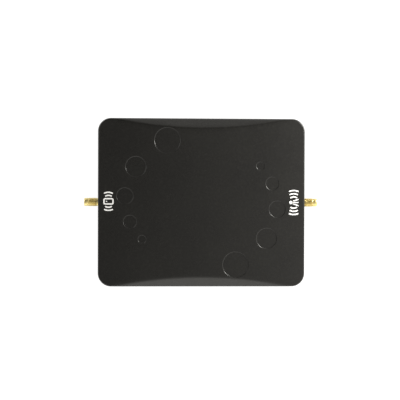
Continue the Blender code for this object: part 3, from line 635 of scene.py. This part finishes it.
def speckled(name, dark, light, rough, grain):
    """Epoxy, ferrite, resin and similar dull mouldings, whose colour follows their grain."""
    return moulding(name, dark, light, patch=grain, rough=(rough - 0.08, rough + 0.08),
                    rough_patch=grain * 3, grain=grain, depth=grain * 0.03, strength=0.5)


FINISH_RECIPES = {
    "case_plastic": case_plastic,
    "base_plastic": base_plastic,
    "gold_plate": gold_plate,
    "board_laminate": board_laminate,
    "jack_plastic": partial(
        moulding, dark=(0.012, 0.012, 0.013), light=(0.020, 0.020, 0.021), patch=3 * MM, rough=(0.38, 0.52),
        rough_patch=0.8 * MM, grain=0.25 * MM, depth=0.006 * MM, strength=0.5),
    "ptfe": partial(
        moulding, dark=(0.78, 0.78, 0.73), light=(0.88, 0.88, 0.84), patch=1.5 * MM, rough=(0.42, 0.58),
        rough_patch=0.4 * MM, grain=0.15 * MM, depth=0.004 * MM, strength=0.4,
        Subsurface_Weight=0.15, Subsurface_Scale=0.5 * MM),
    "foot_rubber": partial(
        moulding, dark=(0.020, 0.020, 0.020), light=(0.040, 0.039, 0.038), patch=4 * MM, detail=4,
        rough=(0.75, 0.95), rough_patch=0.6 * MM, grain=0.2 * MM, depth=0.02 * MM, strength=0.5),
    "clear_acrylic": partial(
        moulding, dark=(0.80, 0.84, 0.86), light=(0.90, 0.93, 0.94), patch=2 * MM, rough=(0.10, 0.24),
        rough_patch=0.7 * MM, grain=0.5 * MM, depth=0.004 * MM, strength=0.3,
        Transmission_Weight=0.85, IOR=1.49),
    # Blank white film with a satin coat, the grey lines printed on it, and the white ink of the port marks.
    "label_film": partial(
        moulding, dark=(0.74, 0.75, 0.74), light=(0.82, 0.83, 0.82), patch=6 * MM, detail=4,
        rough=(0.42, 0.58), rough_patch=1.2 * MM, grain=0.5 * MM, depth=0.004 * MM, strength=0.3),
    "frame_ink": partial(
        moulding, dark=(0.10, 0.105, 0.11), light=(0.15, 0.155, 0.16), patch=1.5 * MM,
        rough=(0.42, 0.58), rough_patch=0.8 * MM, grain=0.4 * MM, depth=0.003 * MM, strength=0.3),
    "port_ink": partial(
        moulding, dark=(0.90, 0.90, 0.89), light=(0.97, 0.97, 0.96), patch=0.9 * MM, detail=4,
        stops=(0.25, 0.6), rough=(0.45, 0.65), rough_patch=0.5 * MM, grain=0.2 * MM, depth=0.006 * MM,
        strength=0.4),
    "screw_steel": partial(brushed_metal, dark=(0.50, 0.50, 0.52), light=(0.62, 0.62, 0.63), rough=0.32),
    "plate_aluminium": partial(brushed_metal, dark=(0.68, 0.69, 0.70), light=(0.76, 0.77, 0.78), rough=0.35),
    "can_steel": partial(brushed_metal, dark=(0.56, 0.56, 0.54), light=(0.66, 0.66, 0.64), rough=0.30),
    "filter_lid": partial(brushed_metal, dark=(0.62, 0.54, 0.36), light=(0.76, 0.68, 0.48), rough=0.32),
    "nickel_contact": partial(brushed_metal, dark=(0.52, 0.50, 0.47), light=(0.66, 0.64, 0.60), rough=0.25),
    "silvered_ceramic": partial(
        brushed_metal, dark=(0.60, 0.60, 0.58), light=(0.74, 0.74, 0.72), rough=0.42, scale=(1.0, 1.0, 1.0)),
    "chip_package": partial(
        speckled, dark=(0.018, 0.018, 0.020), light=(0.034, 0.034, 0.036), rough=0.5, grain=0.3 * MM),
    "ferrite": partial(
        speckled, dark=(0.045, 0.045, 0.048), light=(0.085, 0.085, 0.088), rough=0.6, grain=0.25 * MM),
    "capacitor_sleeve": partial(
        speckled, dark=(0.012, 0.020, 0.038), light=(0.022, 0.032, 0.055), rough=0.32, grain=0.8 * MM),
    "led_lens": partial(
        speckled, dark=(0.78, 0.78, 0.70), light=(0.90, 0.90, 0.84), rough=0.28, grain=0.6 * MM),
    "pad_silicone": partial(
        speckled, dark=(0.36, 0.42, 0.49), light=(0.46, 0.52, 0.59), rough=0.8, grain=0.4 * MM),
}
FINISHES = {}


def finish_for(slot):
    if slot not in FINISHES:
        FINISHES[slot] = FINISH_RECIPES[slot](slot)
    return FINISHES[slot]


def finish_cad_nodes():
    """Each CAD node that stays in view takes the finish of its own material slot."""
    for entry in frame["record"]["subparts"]:
        node = frame["nodes"][entry["node"]]
        finish = finish_for(entry["material_slot"])
        if not node.material_slots:
            node.data.materials.append(finish)
        for slot in node.material_slots:
            slot.material = finish


# ---- pieces

BOARD_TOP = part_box("main_board")[1].z
BOARD_THICKNESS = 1.6 * MM
FLOOR_TOP = BASE_Z + 2.5 * MM
BASE_FILLET = 1.2 * MM
COVER_SCREW_AT = (66.5 * MM, 52.25 * MM)
BOSS_RADIUS = 3.8 * MM
BOSS_HOLE_RADIUS = 1.8 * MM
PILOT_TOP = 20 * MM
COUNTERBORE_RADIUS = 3.0 * MM
COUNTERBORE_DEPTH = 3.0 * MM
STANDOFF_AT = (60.0 * MM, 38.0 * MM)
STANDOFF_RADIUS = 3.0 * MM
STANDOFF_HOLE_RADIUS = 1.55 * MM
STANDOFF_HOLE_FLOOR = 0.8 * MM
FOOT_AT = (54.0 * MM, 42.0 * MM)
FOOT_RADIUS = 6.0 * MM
FOOT_POCKET_RADIUS = 6.3 * MM
FOOT_POCKET_DEPTH = 0.7 * MM
FOOT_EDGE = 0.9 * MM
LABEL_LOW, LABEL_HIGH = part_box("rating_label")
LABEL_POCKET_DEPTH = 0.5 * MM
KEYHOLE_X = 52.0 * MM
KEYHOLE_HEAD_RADIUS = 4.2 * MM
KEYHOLE_SLOT_RADIUS = 2.2 * MM
KEYHOLE_SLOT_LENGTH = 8.0 * MM
KEYHOLE_EASE = 0.25 * MM
JACK_Y = -27.0 * MM
JACK_AXIS_Z = BOARD_TOP + 5.7 * MM
JACK_NOSE_RADIUS = 3.7 * MM
JACK_BORE = 3.15 * MM
JACK_BORE_DEPTH = 11.0 * MM
JACK_PIN = 1.0 * MM
JACK_SIDE_WALL = 0.9 * MM
STATUS_LIGHT_Y = (-12.0 * MM, -17.0 * MM)
LIGHT_PIPE_RADIUS = 1.3 * MM
SMA_RADIUS = 3.175 * MM
SMA_ROOT = 2.88 * MM
SMA_COLLAR = 2.95 * MM
SMA_BORE = 2.3 * MM
SMA_MOUTH_DEPTH = 1.9 * MM
SMA_PITCH = 0.7056 * MM
SMA_THREAD_START = 1.1 * MM
SMA_THREAD_END = 7.5 * MM
SMA_BLOCK_HALF_WIDTH = 4.2 * MM
SMA_BLOCK_LENGTH = 6.2 * MM
SMA_PRONG = 1.0 * MM
SMA_PRONG_REACH = 4.0 * MM
SMA_CONTACT = 0.635 * MM
SMA_SOCKET_HOLE = 0.47 * MM
SMA_SOCKET_DEPTH = 2.5 * MM
SMA_TAIL = 0.4 * MM
SMA_TAIL_LENGTH = 3.0 * MM


def wall_hole(x, y, z, radius, chamfer, side):
    """A cutter for a hole through an end wall, with its outer edge eased."""
    inner_end = -4 * MM
    outer_end = 2 * MM
    profile = [(0, inner_end), (radius, inner_end), (radius, -chamfer), (radius + chamfer, 0),
               (radius + chamfer, outer_end), (0, outer_end)]
    return turned_mesh(profile, along_x(x, y, z, side))


def jack_holes():
    return [cut(wall_hole(side * END_X, 0, PARTING_Z, SMA_RADIUS + GAP, 0.2 * MM, side)) for side in (1, -1)]


def corner_cylinders(place, radius, z_low, z_high):
    bm = bmesh.new()
    for x, y in at_corners(place):
        bmesh.ops.create_cone(bm, cap_ends=True, segments=32, radius1=radius, radius2=radius,
                              depth=z_high - z_low, matrix=Matrix.Translation((x, y, (z_low + z_high) / 2)))
    return mesh_from_bmesh(bm)


def make_top_cover():
    bottom = PARTING_Z + GAP / 2
    boss_top = arch_height(COVER_SCREW_AT[0], WALL / 2)
    steps = [join(corner_cylinders(COVER_SCREW_AT, BOSS_RADIUS, bottom, boss_top)),
             cut(corner_cylinders(COVER_SCREW_AT, BOSS_HOLE_RADIUS, bottom - MM, PILOT_TOP))]
    steps += jack_holes()
    steps.append(cut(wall_hole(-END_X, JACK_Y, JACK_AXIS_Z, JACK_NOSE_RADIUS + GAP, 0.3 * MM, -1)))
    for y in STATUS_LIGHT_Y:
        steps.append(cut(wall_hole(-END_X, y, JACK_AXIS_Z, LIGHT_PIPE_RADIUS + GAP, 0.12 * MM, -1)))
    add_piece("top_cover_shell", combined(fine_top_cover(), steps), "case_plastic", "top_cover")


def fine_base_cover():
    """An open tray: rounded underside edge, eased parting edge, and the tongue along its inside."""
    top = PARTING_Z - GAP / 2
    tongue_top = top + TONGUE_HEIGHT
    tongue_outside = WALL - TONGUE
    lip = PARTING_LIP
    margin = 0.5 * MM
    rows = [(BASE_FILLET * (1 - math.sin(angle)), BASE_Z + BASE_FILLET * (1 - math.cos(angle)))
            for angle in quarter_turn(FILLET_STEPS)]
    rows += [(0.0, BASE_Z + BASE_FILLET + margin), (0.0, top - lip - margin),
             (0.0, top - lip), (lip, top), (tongue_outside, top), (tongue_outside, tongue_top - lip),
             (tongue_outside + lip, tongue_top), (WALL, tongue_top), (WALL, FLOOR_TOP)]
    return loft_mesh([[(x, y, z) for x, y in outline(inset)] for inset, z in rows])


def corner_pockets(place, radius, z_mouth, z_end, ease):
    """A cutter for four round pockets that open downwards at z_mouth, their mouths eased."""
    outside = z_mouth - MM
    profile = [(0, outside), (radius + ease, outside), (radius + ease, z_mouth), (radius, z_mouth + ease),
               (radius, z_end), (0, z_end)]
    bm = bmesh.new()
    for x, y in at_corners(place):
        mesh = turned_mesh(profile, Matrix.Translation((x, y, 0)), 40)
        bm.from_mesh(mesh)
        bpy.data.meshes.remove(mesh)
    return mesh_from_bmesh(bm)


def keyhole_mesh():
    """A cutter for the two wall-hanging keyholes: round head, and a slot that runs towards +Y."""
    bm = bmesh.new()
    neck = math.asin(KEYHOLE_SLOT_RADIUS / KEYHOLE_HEAD_RADIUS)
    levels = ((BASE_Z - MM, KEYHOLE_EASE), (BASE_Z, KEYHOLE_EASE), (BASE_Z + KEYHOLE_EASE, 0.0),
              (FLOOR_TOP + MM, 0.0))
    for x in (KEYHOLE_X, -KEYHOLE_X):
        rings = []
        for z, ease in levels:
            ring = arc(KEYHOLE_HEAD_RADIUS + ease, RIGHT_ANGLE + neck, 2 * math.pi - 2 * neck, 40, (x, 0.0))
            ring += arc(KEYHOLE_SLOT_RADIUS + ease, 0.0, math.pi, 16, (x, KEYHOLE_SLOT_LENGTH))
            rings.append([(*point, z) for point in ring])
        add_loft(bm, rings)
    return mesh_from_bmesh(bm)


def rounded_slab(half_x, half_y, radius, levels):
    """A slab with round corners: levels are (z, inset) pairs from the lowest up."""
    rings = []
    for z, inset in levels:
        rings.append([(x, y, z) for x, y in
                      rounded_rectangle(half_x - radius, half_y - radius, radius - inset, 8)])
    return loft_mesh(rings)


def make_base_cover():
    top = PARTING_Z - GAP / 2
    shoulder = BASE_Z + COUNTERBORE_DEPTH
    standoff_top = BOARD_TOP - BOARD_THICKNESS - GAP
    hole_floor = FLOOR_TOP + STANDOFF_HOLE_FLOOR
    steps = [
        join(corner_cylinders(COVER_SCREW_AT, BOSS_RADIUS, FLOOR_TOP - MM, top)),
        join(corner_cylinders(STANDOFF_AT, STANDOFF_RADIUS, FLOOR_TOP - MM, standoff_top)),
        cut(corner_cylinders(COVER_SCREW_AT, BOSS_HOLE_RADIUS, shoulder - MM, top + MM)),
        cut(corner_cylinders(STANDOFF_AT, STANDOFF_HOLE_RADIUS, hole_floor, PARTING_Z)),
        cut(corner_pockets(COVER_SCREW_AT, COUNTERBORE_RADIUS, BASE_Z, shoulder, 0.2 * MM)),
        cut(corner_pockets(FOOT_AT, FOOT_POCKET_RADIUS, BASE_Z, BASE_Z + FOOT_POCKET_DEPTH, 0.12 * MM)),
        cut(keyhole_mesh()),
        cut(rounded_slab(LABEL_HIGH.x + GAP, LABEL_HIGH.y + GAP, 1.8 * MM,
                         [(BASE_Z - MM, 0.0), (BASE_Z + LABEL_POCKET_DEPTH, 0.0)])),
    ]
    steps += jack_holes()
    tray = combined(fine_base_cover(), steps)
    add_piece("base_cover_tray", tray, "case_plastic", "base_cover", finish="base_plastic")


def make_rubber_feet():
    """Round pads with a rolled edge and a shallow dished face."""
    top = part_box("rubber_foot_1")[1].z
    flat_radius = FOOT_RADIUS - FOOT_EDGE
    profile = [(0, 0.12 * MM), (3.6 * MM, 0.10 * MM), (4.2 * MM, 0.0), (flat_radius, 0.0)]
    profile += [(flat_radius + FOOT_EDGE * math.sin(angle), FOOT_EDGE * (1 - math.cos(angle)))
                for angle in quarter_turn(6)[1:]]
    profile += [(FOOT_RADIUS, top), (0, top)]
    for number, (x, y) in enumerate(at_corners(FOOT_AT), start=1):
        mesh = turned_mesh(profile, Matrix.Translation((x, y, 0)), 56)
        add_piece(f"foot_pad_{number}", mesh, "foot_rubber", f"rubber_foot_{number}")


def screw_mesh(radius, length, head_radius, head_height, pitch):
    """Pan head with a cross recess below z = 0, and a threaded shank above it."""
    thread_share = 0.24
    tip_share = 0.4
    depth = radius * thread_share
    root = radius - depth
    neck = 0.4 * MM
    rows = [(-head_height / 2, root, 0.0), (neck, root, 0.0)]
    rows += thread_rows(root, neck, length - radius, length, pitch, pitch / 8)
    rows.append((length, root * tip_share, 0.0))

    flat_share = 0.55
    dome_share = 0.55
    edge = 0.05 * MM
    head = [(0, -head_height)]
    head += [(head_radius * (flat_share + (1 - flat_share) * math.sin(angle)),
              -head_height + head_height * dome_share * (1 - math.cos(angle))) for angle in quarter_turn(8)]
    head += [(head_radius, -edge), (head_radius - edge, 0), (0, 0)]
    steps = [join(turned_mesh(head, steps=40))]

    # The cross's arms: z, and half length and half width in shares of the head's radius.
    levels = ((-head_height - 0.2 * MM, 0.62, 0.15), (-head_height * 0.35, 0.34, 0.10))
    for turned in (0, 1):
        rings = []
        for z, half_length, half_width in levels:
            a, b = (half_length, half_width) if turned else (half_width, half_length)
            a, b = a * head_radius, b * head_radius
            rings.append([(a, b, z), (-a, b, z), (-a, -b, z), (a, -b, z)])
        steps.append(cut(loft_mesh(rings)))
    return combined(threaded_mesh(rows, pitch, depth, 28), steps)


def make_screws():
    """Four cover screws driven from below, and four board screws driven from above."""
    head_z = BASE_Z + COUNTERBORE_DEPTH - GAP
    cover_screw = screw_mesh(1.5 * MM, 14.0 * MM, 2.7 * MM, 1.8 * MM, 1.2 * MM)
    board_screw = screw_mesh(1.25 * MM, 4.2 * MM, 2.4 * MM, 1.5 * MM, 0.9 * MM)
    places = zip(at_corners(COVER_SCREW_AT), at_corners(STANDOFF_AT))
    for number, (cover_place, board_place) in enumerate(places, start=1):
        add_piece(f"case_screw_{number}", cover_screw, "screw_steel", f"cover_screw_{number}",
                  at=(*cover_place, head_z))
        made = add_piece(f"pcb_screw_{number}", board_screw, "screw_steel", f"board_screw_{number}",
                         at=(*board_place, BOARD_TOP + GAP))
        made.rotation_euler = (math.pi, 0, 0)


def make_label():
    """A blank film with a printed frame and empty fields, face down in its pocket."""
    low = LABEL_LOW.z
    film = rounded_slab(LABEL_HIGH.x, LABEL_HIGH.y, 1.5 * MM,
                        [(low + 0.02 * MM, 0.03 * MM), (low + 0.05 * MM, 0.0), (LABEL_HIGH.z, 0.0)])
    add_piece("blank_label", film, "label_film", "rating_label")

    bm = bmesh.new()
    inset = 1.6 * MM
    line = 0.35 * MM
    ink = 0.03 * MM
    frame_x = LABEL_HIGH.x - inset
    frame_y = LABEL_HIGH.y - inset
    bars = [((-frame_x, -frame_y), (frame_x, -frame_y + line)),
            ((-frame_x, frame_y - line), (frame_x, frame_y)),
            ((-frame_x, -frame_y + line), (-frame_x + line, frame_y - line)),
            ((frame_x - line, -frame_y + line), (frame_x, frame_y - line))]
    for share in (-0.34, 0.34):
        y = frame_y * share
        bars.append(((-frame_x + line, y), (frame_x - line, y + line)))
    for (x_low, y_low), (x_high, y_high) in bars:
        add_box(bm, (x_low, y_low, low), (x_high, y_high, low + ink))
    add_piece("label_frame", mesh_from_bmesh(bm), "label_film", finish="frame_ink")


def make_sma_shell(port, side, place, reach, block_front, block_back):
    """The gold body: groove at the wall, 1/4-36 thread, plain collar at the mouth, block and prongs."""
    inside_block = block_back + MM
    rows = [(inside_block, SMA_ROOT, 0.0), (0.0, SMA_ROOT, 0.0), (SMA_THREAD_START, SMA_ROOT, 0.0)]
    rows += thread_rows(SMA_ROOT, SMA_THREAD_START, SMA_THREAD_END, SMA_THREAD_END, SMA_PITCH,
                        SMA_PITCH / 12)
    z = rows[-1][0]
    rows += [(z + 0.15 * MM, SMA_ROOT, 0.0), (z + 0.3 * MM, SMA_COLLAR, 0.0),
             (z + 1.2 * MM, SMA_COLLAR, 0.0), (reach - 0.35 * MM, SMA_COLLAR - 0.06 * MM, 0.0),
             (reach - 0.10 * MM, SMA_COLLAR - 0.20 * MM, 0.0), (reach, SMA_COLLAR - 0.28 * MM, 0.0)]
    rod = threaded_mesh(rows, SMA_PITCH, SMA_RADIUS - SMA_ROOT, 56, place)

    half = SMA_BLOCK_HALF_WIDTH
    steps = [join(box_mesh((-half, -half, block_back), (half, half, block_front), place, 0.15 * MM))]
    board_middle = PARTING_Z - (BOARD_TOP - BOARD_THICKNESS / 2)
    nearest = BOARD_THICKNESS / 2 + GAP
    for level in (board_middle - nearest - SMA_PRONG, board_middle + nearest):
        low = min(level * side, (level + SMA_PRONG) * side)
        for across in (-half, half - SMA_PRONG):
            steps.append(join(box_mesh((low, across, block_back - SMA_PRONG_REACH),
                                       (low + SMA_PRONG, across + SMA_PRONG, inside_block), place)))
    ease = 0.3 * MM
    bore = [(0, block_back - MM), (SMA_BORE, block_back - MM), (SMA_BORE, reach - ease),
            (SMA_BORE + ease, reach), (SMA_BORE + ease, reach + MM), (0, reach + MM)]
    steps.append(cut(turned_mesh(bore, place)))
    add_piece(f"{port}_sma_shell", combined(rod, steps), "gold_plate", f"{port}_sma_body")


def make_sma_jack(port, side):
    """A gold SMA jack in an end wall, its insulator, and its slotted centre contact."""
    place = along_x(side * END_X, 0, PARTING_Z, side)
    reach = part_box("outdoor_sma_body")[1].x - END_X
    block_front = -WALL - GAP
    block_back = block_front - SMA_BLOCK_LENGTH
    make_sma_shell(port, side, place, reach, block_front, block_back)

    face = reach - SMA_MOUTH_DEPTH
    outer = SMA_BORE - GAP
    inner = SMA_CONTACT + GAP
    ease = 0.12 * MM
    ring = [(inner, block_back), (outer, block_back), (outer, face - ease), (outer - ease, face),
            (inner + ease, face), (inner, face - ease)]
    bead = turned_mesh(ring, place, closed=True)
    add_piece(f"{port}_sma_bead", bead, "ptfe", f"{port}_sma_insulator")

    tail_end = block_back - SMA_TAIL_LENGTH
    bottom = face - SMA_SOCKET_DEPTH
    pin = [(0, tail_end), (SMA_TAIL - ease, tail_end), (SMA_TAIL, tail_end + ease), (SMA_TAIL, block_back),
           (SMA_CONTACT, block_back), (SMA_CONTACT, face - ease), (SMA_CONTACT - 0.08 * MM, face),
           (SMA_SOCKET_HOLE + 0.04 * MM, face), (SMA_SOCKET_HOLE, face - ease), (SMA_SOCKET_HOLE, bottom),
           (0, bottom)]
    slot_half_width = 0.1 * MM
    slot_bottom = face - 1.9 * MM
    slots = [cut(box_mesh((-half_x, -half_y, slot_bottom), (half_x, half_y, face + MM), place))
             for half_x, half_y in ((MM, slot_half_width), (slot_half_width, MM))]
    contact = combined(turned_mesh(pin, place, 32), slots)
    add_piece(f"{port}_sma_socket", contact, "gold_plate", f"{port}_sma_contact")


def make_power_jack():
    """Moulded housing with a round nose in the wall, and the centre pin."""
    low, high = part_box("dc_jack_housing")
    block_front = -END_X + WALL + GAP
    nose = block_front - low.x
    length = high.x - low.x
    place = along_x(low.x, JACK_Y, JACK_AXIS_Z)
    ease = 0.25 * MM
    body = box_mesh((block_front, low.y, low.z), high, bevel=0.3 * MM)
    collar = [(0, 0), (JACK_NOSE_RADIUS - ease, 0), (JACK_NOSE_RADIUS, ease), (JACK_NOSE_RADIUS, nose + MM),
              (0, nose + MM)]
    bore = [(0, -MM), (JACK_BORE + ease, -MM), (JACK_BORE + ease, 0), (JACK_BORE, ease),
            (JACK_BORE, JACK_BORE_DEPTH), (0, JACK_BORE_DEPTH)]
    pin_hole = [(0, JACK_BORE_DEPTH - MM), (JACK_PIN + GAP, JACK_BORE_DEPTH - MM),
                (JACK_PIN + GAP, length + MM), (0, length + MM)]
    half = 1.5 * MM
    channel = box_mesh((block_front + JACK_SIDE_WALL, JACK_Y - half, low.z - MM),
                       (high.x - JACK_SIDE_WALL, JACK_Y + half, JACK_AXIS_Z - JACK_BORE + MM))
    steps = [join(turned_mesh(collar, place, 56)), cut(turned_mesh(bore, place, 56)),
             cut(turned_mesh(pin_hole, place, 24)), cut(channel)]
    add_piece("power_jack_shell", combined(body, steps), "jack_plastic", "dc_jack_housing")

    pin_low, pin_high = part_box("dc_jack_centre_pin")
    front = pin_low.x - low.x
    rear = pin_high.x - low.x
    profile = [(JACK_PIN * math.sin(angle), front + JACK_PIN * 0.8 * (1 - math.cos(angle)))
               for angle in quarter_turn(6)]
    profile += [(JACK_PIN, rear), (0, rear)]
    half = 0.9 * MM
    tab = box_mesh((pin_high.x - 0.7 * MM, JACK_Y - half, pin_low.z),
                   (pin_high.x - 0.1 * MM, JACK_Y + half, JACK_AXIS_Z))
    pin = combined(turned_mesh(profile, place, 32), [join(tab)])
    add_piece("power_jack_pin", pin, "nickel_contact", "dc_jack_centre_pin")


def make_light_pipes():
    """Clear rods from each status light to a domed end in the wall."""
    steps = 28
    bend = 2.8 * MM
    for number, y in enumerate(STATUS_LIGHT_Y, start=1):
        low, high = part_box(f"light_pipe_{number}")
        led_x = high.x - LIGHT_PIPE_RADIUS
        # (x, z, share of the radius, direction) from the wall, round the bend and down to the light
        path = [(low.x, JACK_AXIS_Z, 0.70, 0.0), (low.x + 0.10 * MM, JACK_AXIS_Z, 0.90, 0.0),
                (low.x + 0.30 * MM, JACK_AXIS_Z, 1.0, 0.0)]
        path += [(led_x - bend + bend * math.sin(angle), JACK_AXIS_Z - bend + bend * math.cos(angle), 1.0,
                  angle) for angle in quarter_turn(12)]
        path += [(led_x, low.z + 0.15 * MM, 1.0, RIGHT_ANGLE), (led_x, low.z, 0.9, RIGHT_ANGLE)]
        rings = []
        for x, z, share, direction in path:
            rings.append([(x + out * math.sin(direction), y + across, z + out * math.cos(direction))
                          for out, across in circle(LIGHT_PIPE_RADIUS * share, steps)])
        add_piece(f"light_guide_{number}", loft_mesh(rings), "clear_acrylic", f"light_pipe_{number}")


# ---- port marks

INDOOR_MARK_AT = (-67.3 * MM, 0.7 * MM)
OUTDOOR_MARK_AT = (66.75 * MM, 0.2 * MM)
# How far the print stands proud of the top, and how far it reaches into it.
INK = 0.03 * MM
INK_BELOW = -2 * INK


def on_top(x, y, lift):
    return x, y, top_height(x, y) + lift


def add_stroke(bm, line, width, closed):
    """A flat stroke along (x, y) points, following the top just above its surface."""
    line = [Vector(point) for point in line]
    rings = []
    for index, point in enumerate(line):
        before = line[index - 1] if index or closed else point
        after = line[(index + 1) % len(line)] if index < len(line) - 1 or closed else point
        along = (after - before).normalized()
        across = Vector((-along.y, along.x)) * width / 2
        rings.append([on_top(*(point + across * side), lift)
                      for side, lift in ((1, INK), (1, INK_BELOW), (-1, INK_BELOW), (-1, INK))])
    add_loft(bm, rings, closed)


def add_dot(bm, centre, radius):
    steps = 20
    add_loft(bm, [[on_top(x, y, lift) for x, y in circle(radius * share, steps, centre)]
                  for lift, share in ((INK_BELOW, 1.0), (INK, 1.0), (INK, 0.5))])


def make_mark(name, place, up, strokes, dots):
    """Strokes and dots drawn in millimetres, right and up, turned so that up points along up times X."""
    bm = bmesh.new()
    cx, cy = place

    def on_case(points):
        return [(cx + up * v * MM, cy - up * u * MM) for u, v in points]

    for points, width, closed in strokes:
        add_stroke(bm, on_case(points), width * MM, closed)
    for centre, radius in dots:
        add_dot(bm, on_case([centre])[0], radius * MM)
    add_piece(name, mesh_from_bmesh(bm), "label_film", finish="port_ink")


def waves(arcs, width):
    """Strokes for the same arcs on the right and the left: arcs are (radius, degrees to each side)."""
    return [(arc(radius, math.radians(middle - spread), math.radians(2 * spread), 14), width, False)
            for middle in (0, 180) for radius, spread in arcs]


def make_port_marks():
    """Indoor port: a handset between waves. Outdoor port: a guyed mast between waves."""
    line = 0.95
    handset = rounded_rectangle(1.1, 2.45, 0.8, 5, 5, 5)
    strokes = [(handset, line, True)] + waves(((4.3, 33), (6.5, 29)), line)
    make_mark("indoor_port_mark", INDOOR_MARK_AT, 1, strokes, [((0.0, -1.5), 0.45)])

    top_share = 0.46
    strokes = [(straight((foot, -3.6), (foot * top_share, 0.4), 5), 0.8, False) for foot in (-2.3, 0.0, 2.3)]
    strokes += waves(((4.1, 36), (6.4, 29), (8.7, 24)), line)
    make_mark("outdoor_port_mark", OUTDOOR_MARK_AT, -1, strokes, [((0.0, 2.1), 1.2)])


make_top_cover()
make_base_cover()
make_rubber_feet()
make_screws()
make_label()
make_sma_jack("indoor", -1)
make_sma_jack("outdoor", 1)
make_power_jack()
make_light_pipes()
make_port_marks()
finish_cad_nodes()


# ---- floor, light and camera

LIGHT_COLOUR = (1.0, 0.98, 0.93)
LIGHT_AIM = Vector((0, 0, 0.01))
SKY_OVERHEAD = 0.61
SKY_HORIZON = 1.50
SKY_TOWARDS_X = 0.62
SKY_TOWARDS_Y = -0.64
SKY_DARKEST = 0.05
CAMERA_PLACE = (-0.042, 0.015, 0.85)
CAMERA_TURN = (-0.92, -2.81, 0.21)
CAMERA_LENS = 103.2


def make_floor():
    """A pale sheet that also glows a little, so that it stays white round a dark object."""
    bm = bmesh.new()
    bmesh.ops.create_grid(bm, x_segments=1, y_segments=1, size=4.0)
    mesh = mesh_from_bmesh(bm)
    floor = bpy.data.objects.new("floor", mesh)
    bpy.context.scene.collection.objects.link(floor)
    made = Finish("floor_white", Roughness=0.7, Emission_Color=(1, 1, 1, 1), Emission_Strength=0.90)
    made.colour(made.colours(made.noise(200 * MM), [(0.3, (0.24, 0.24, 0.24)), (0.7, (0.27, 0.27, 0.27))]))
    mesh.materials.append(made.material)


def make_light(name, place, size, watts):
    light = bpy.data.lights.new(name, "AREA")
    light.shape = "RECTANGLE"
    light.size, light.size_y = size
    light.energy = watts
    light.color = LIGHT_COLOUR
    made = bpy.data.objects.new(name, light)
    bpy.context.scene.collection.objects.link(made)
    made.location = place
    made.rotation_euler = (LIGHT_AIM - Vector(place)).to_track_quat("-Z", "Y").to_euler()
    made.visible_camera = False


def make_world():
    """A soft studio sky that brightens from overhead to the horizon, and towards +X and -Y."""
    world = bpy.data.worlds.new("studio")
    world.use_nodes = True
    tree = world.node_tree
    place = tree.nodes.new("ShaderNodeTexCoord")
    split = tree.nodes.new("ShaderNodeSeparateXYZ")
    tree.links.new(place.outputs["Generated"], split.inputs["Vector"])
    lowness = maths_node(tree, "MULTIPLY_ADD", split.outputs["Z"], -1.0, 1.0)
    level = maths_node(tree, "POWER", lowness, 2.0)
    level = maths_node(tree, "MULTIPLY_ADD", level, SKY_HORIZON, SKY_OVERHEAD)
    level = maths_node(tree, "MULTIPLY_ADD", split.outputs["X"], SKY_TOWARDS_X, level)
    level = maths_node(tree, "MULTIPLY_ADD", split.outputs["Y"], SKY_TOWARDS_Y, level)
    level = maths_node(tree, "MAXIMUM", level, SKY_DARKEST)
    background = tree.nodes["Background"]
    background.inputs["Color"].default_value = (*LIGHT_COLOUR, 1.0)
    tree.links.new(level, background.inputs["Strength"])
    bpy.context.scene.world = world


def make_camera():
    """High above the booster, a little towards the indoor end, and turned to look at it."""
    camera = bpy.data.cameras.new("camera")
    made = bpy.data.objects.new("camera", camera)
    bpy.context.scene.collection.objects.link(made)
    camera.sensor_width = 36.0
    camera.lens = CAMERA_LENS
    made.location = CAMERA_PLACE
    made.rotation_euler = [math.radians(turn) for turn in CAMERA_TURN]
    bpy.context.scene.camera = made


make_floor()
make_world()
make_light("near_right", (0.29, 0.14, 0.10), (0.12, 0.10), 1.25)
make_light("near_left", (-0.30, 0.12, 0.12), (0.20, 0.14), 0.20)
make_camera()
bpy.context.scene.view_settings.view_transform = "Standard"
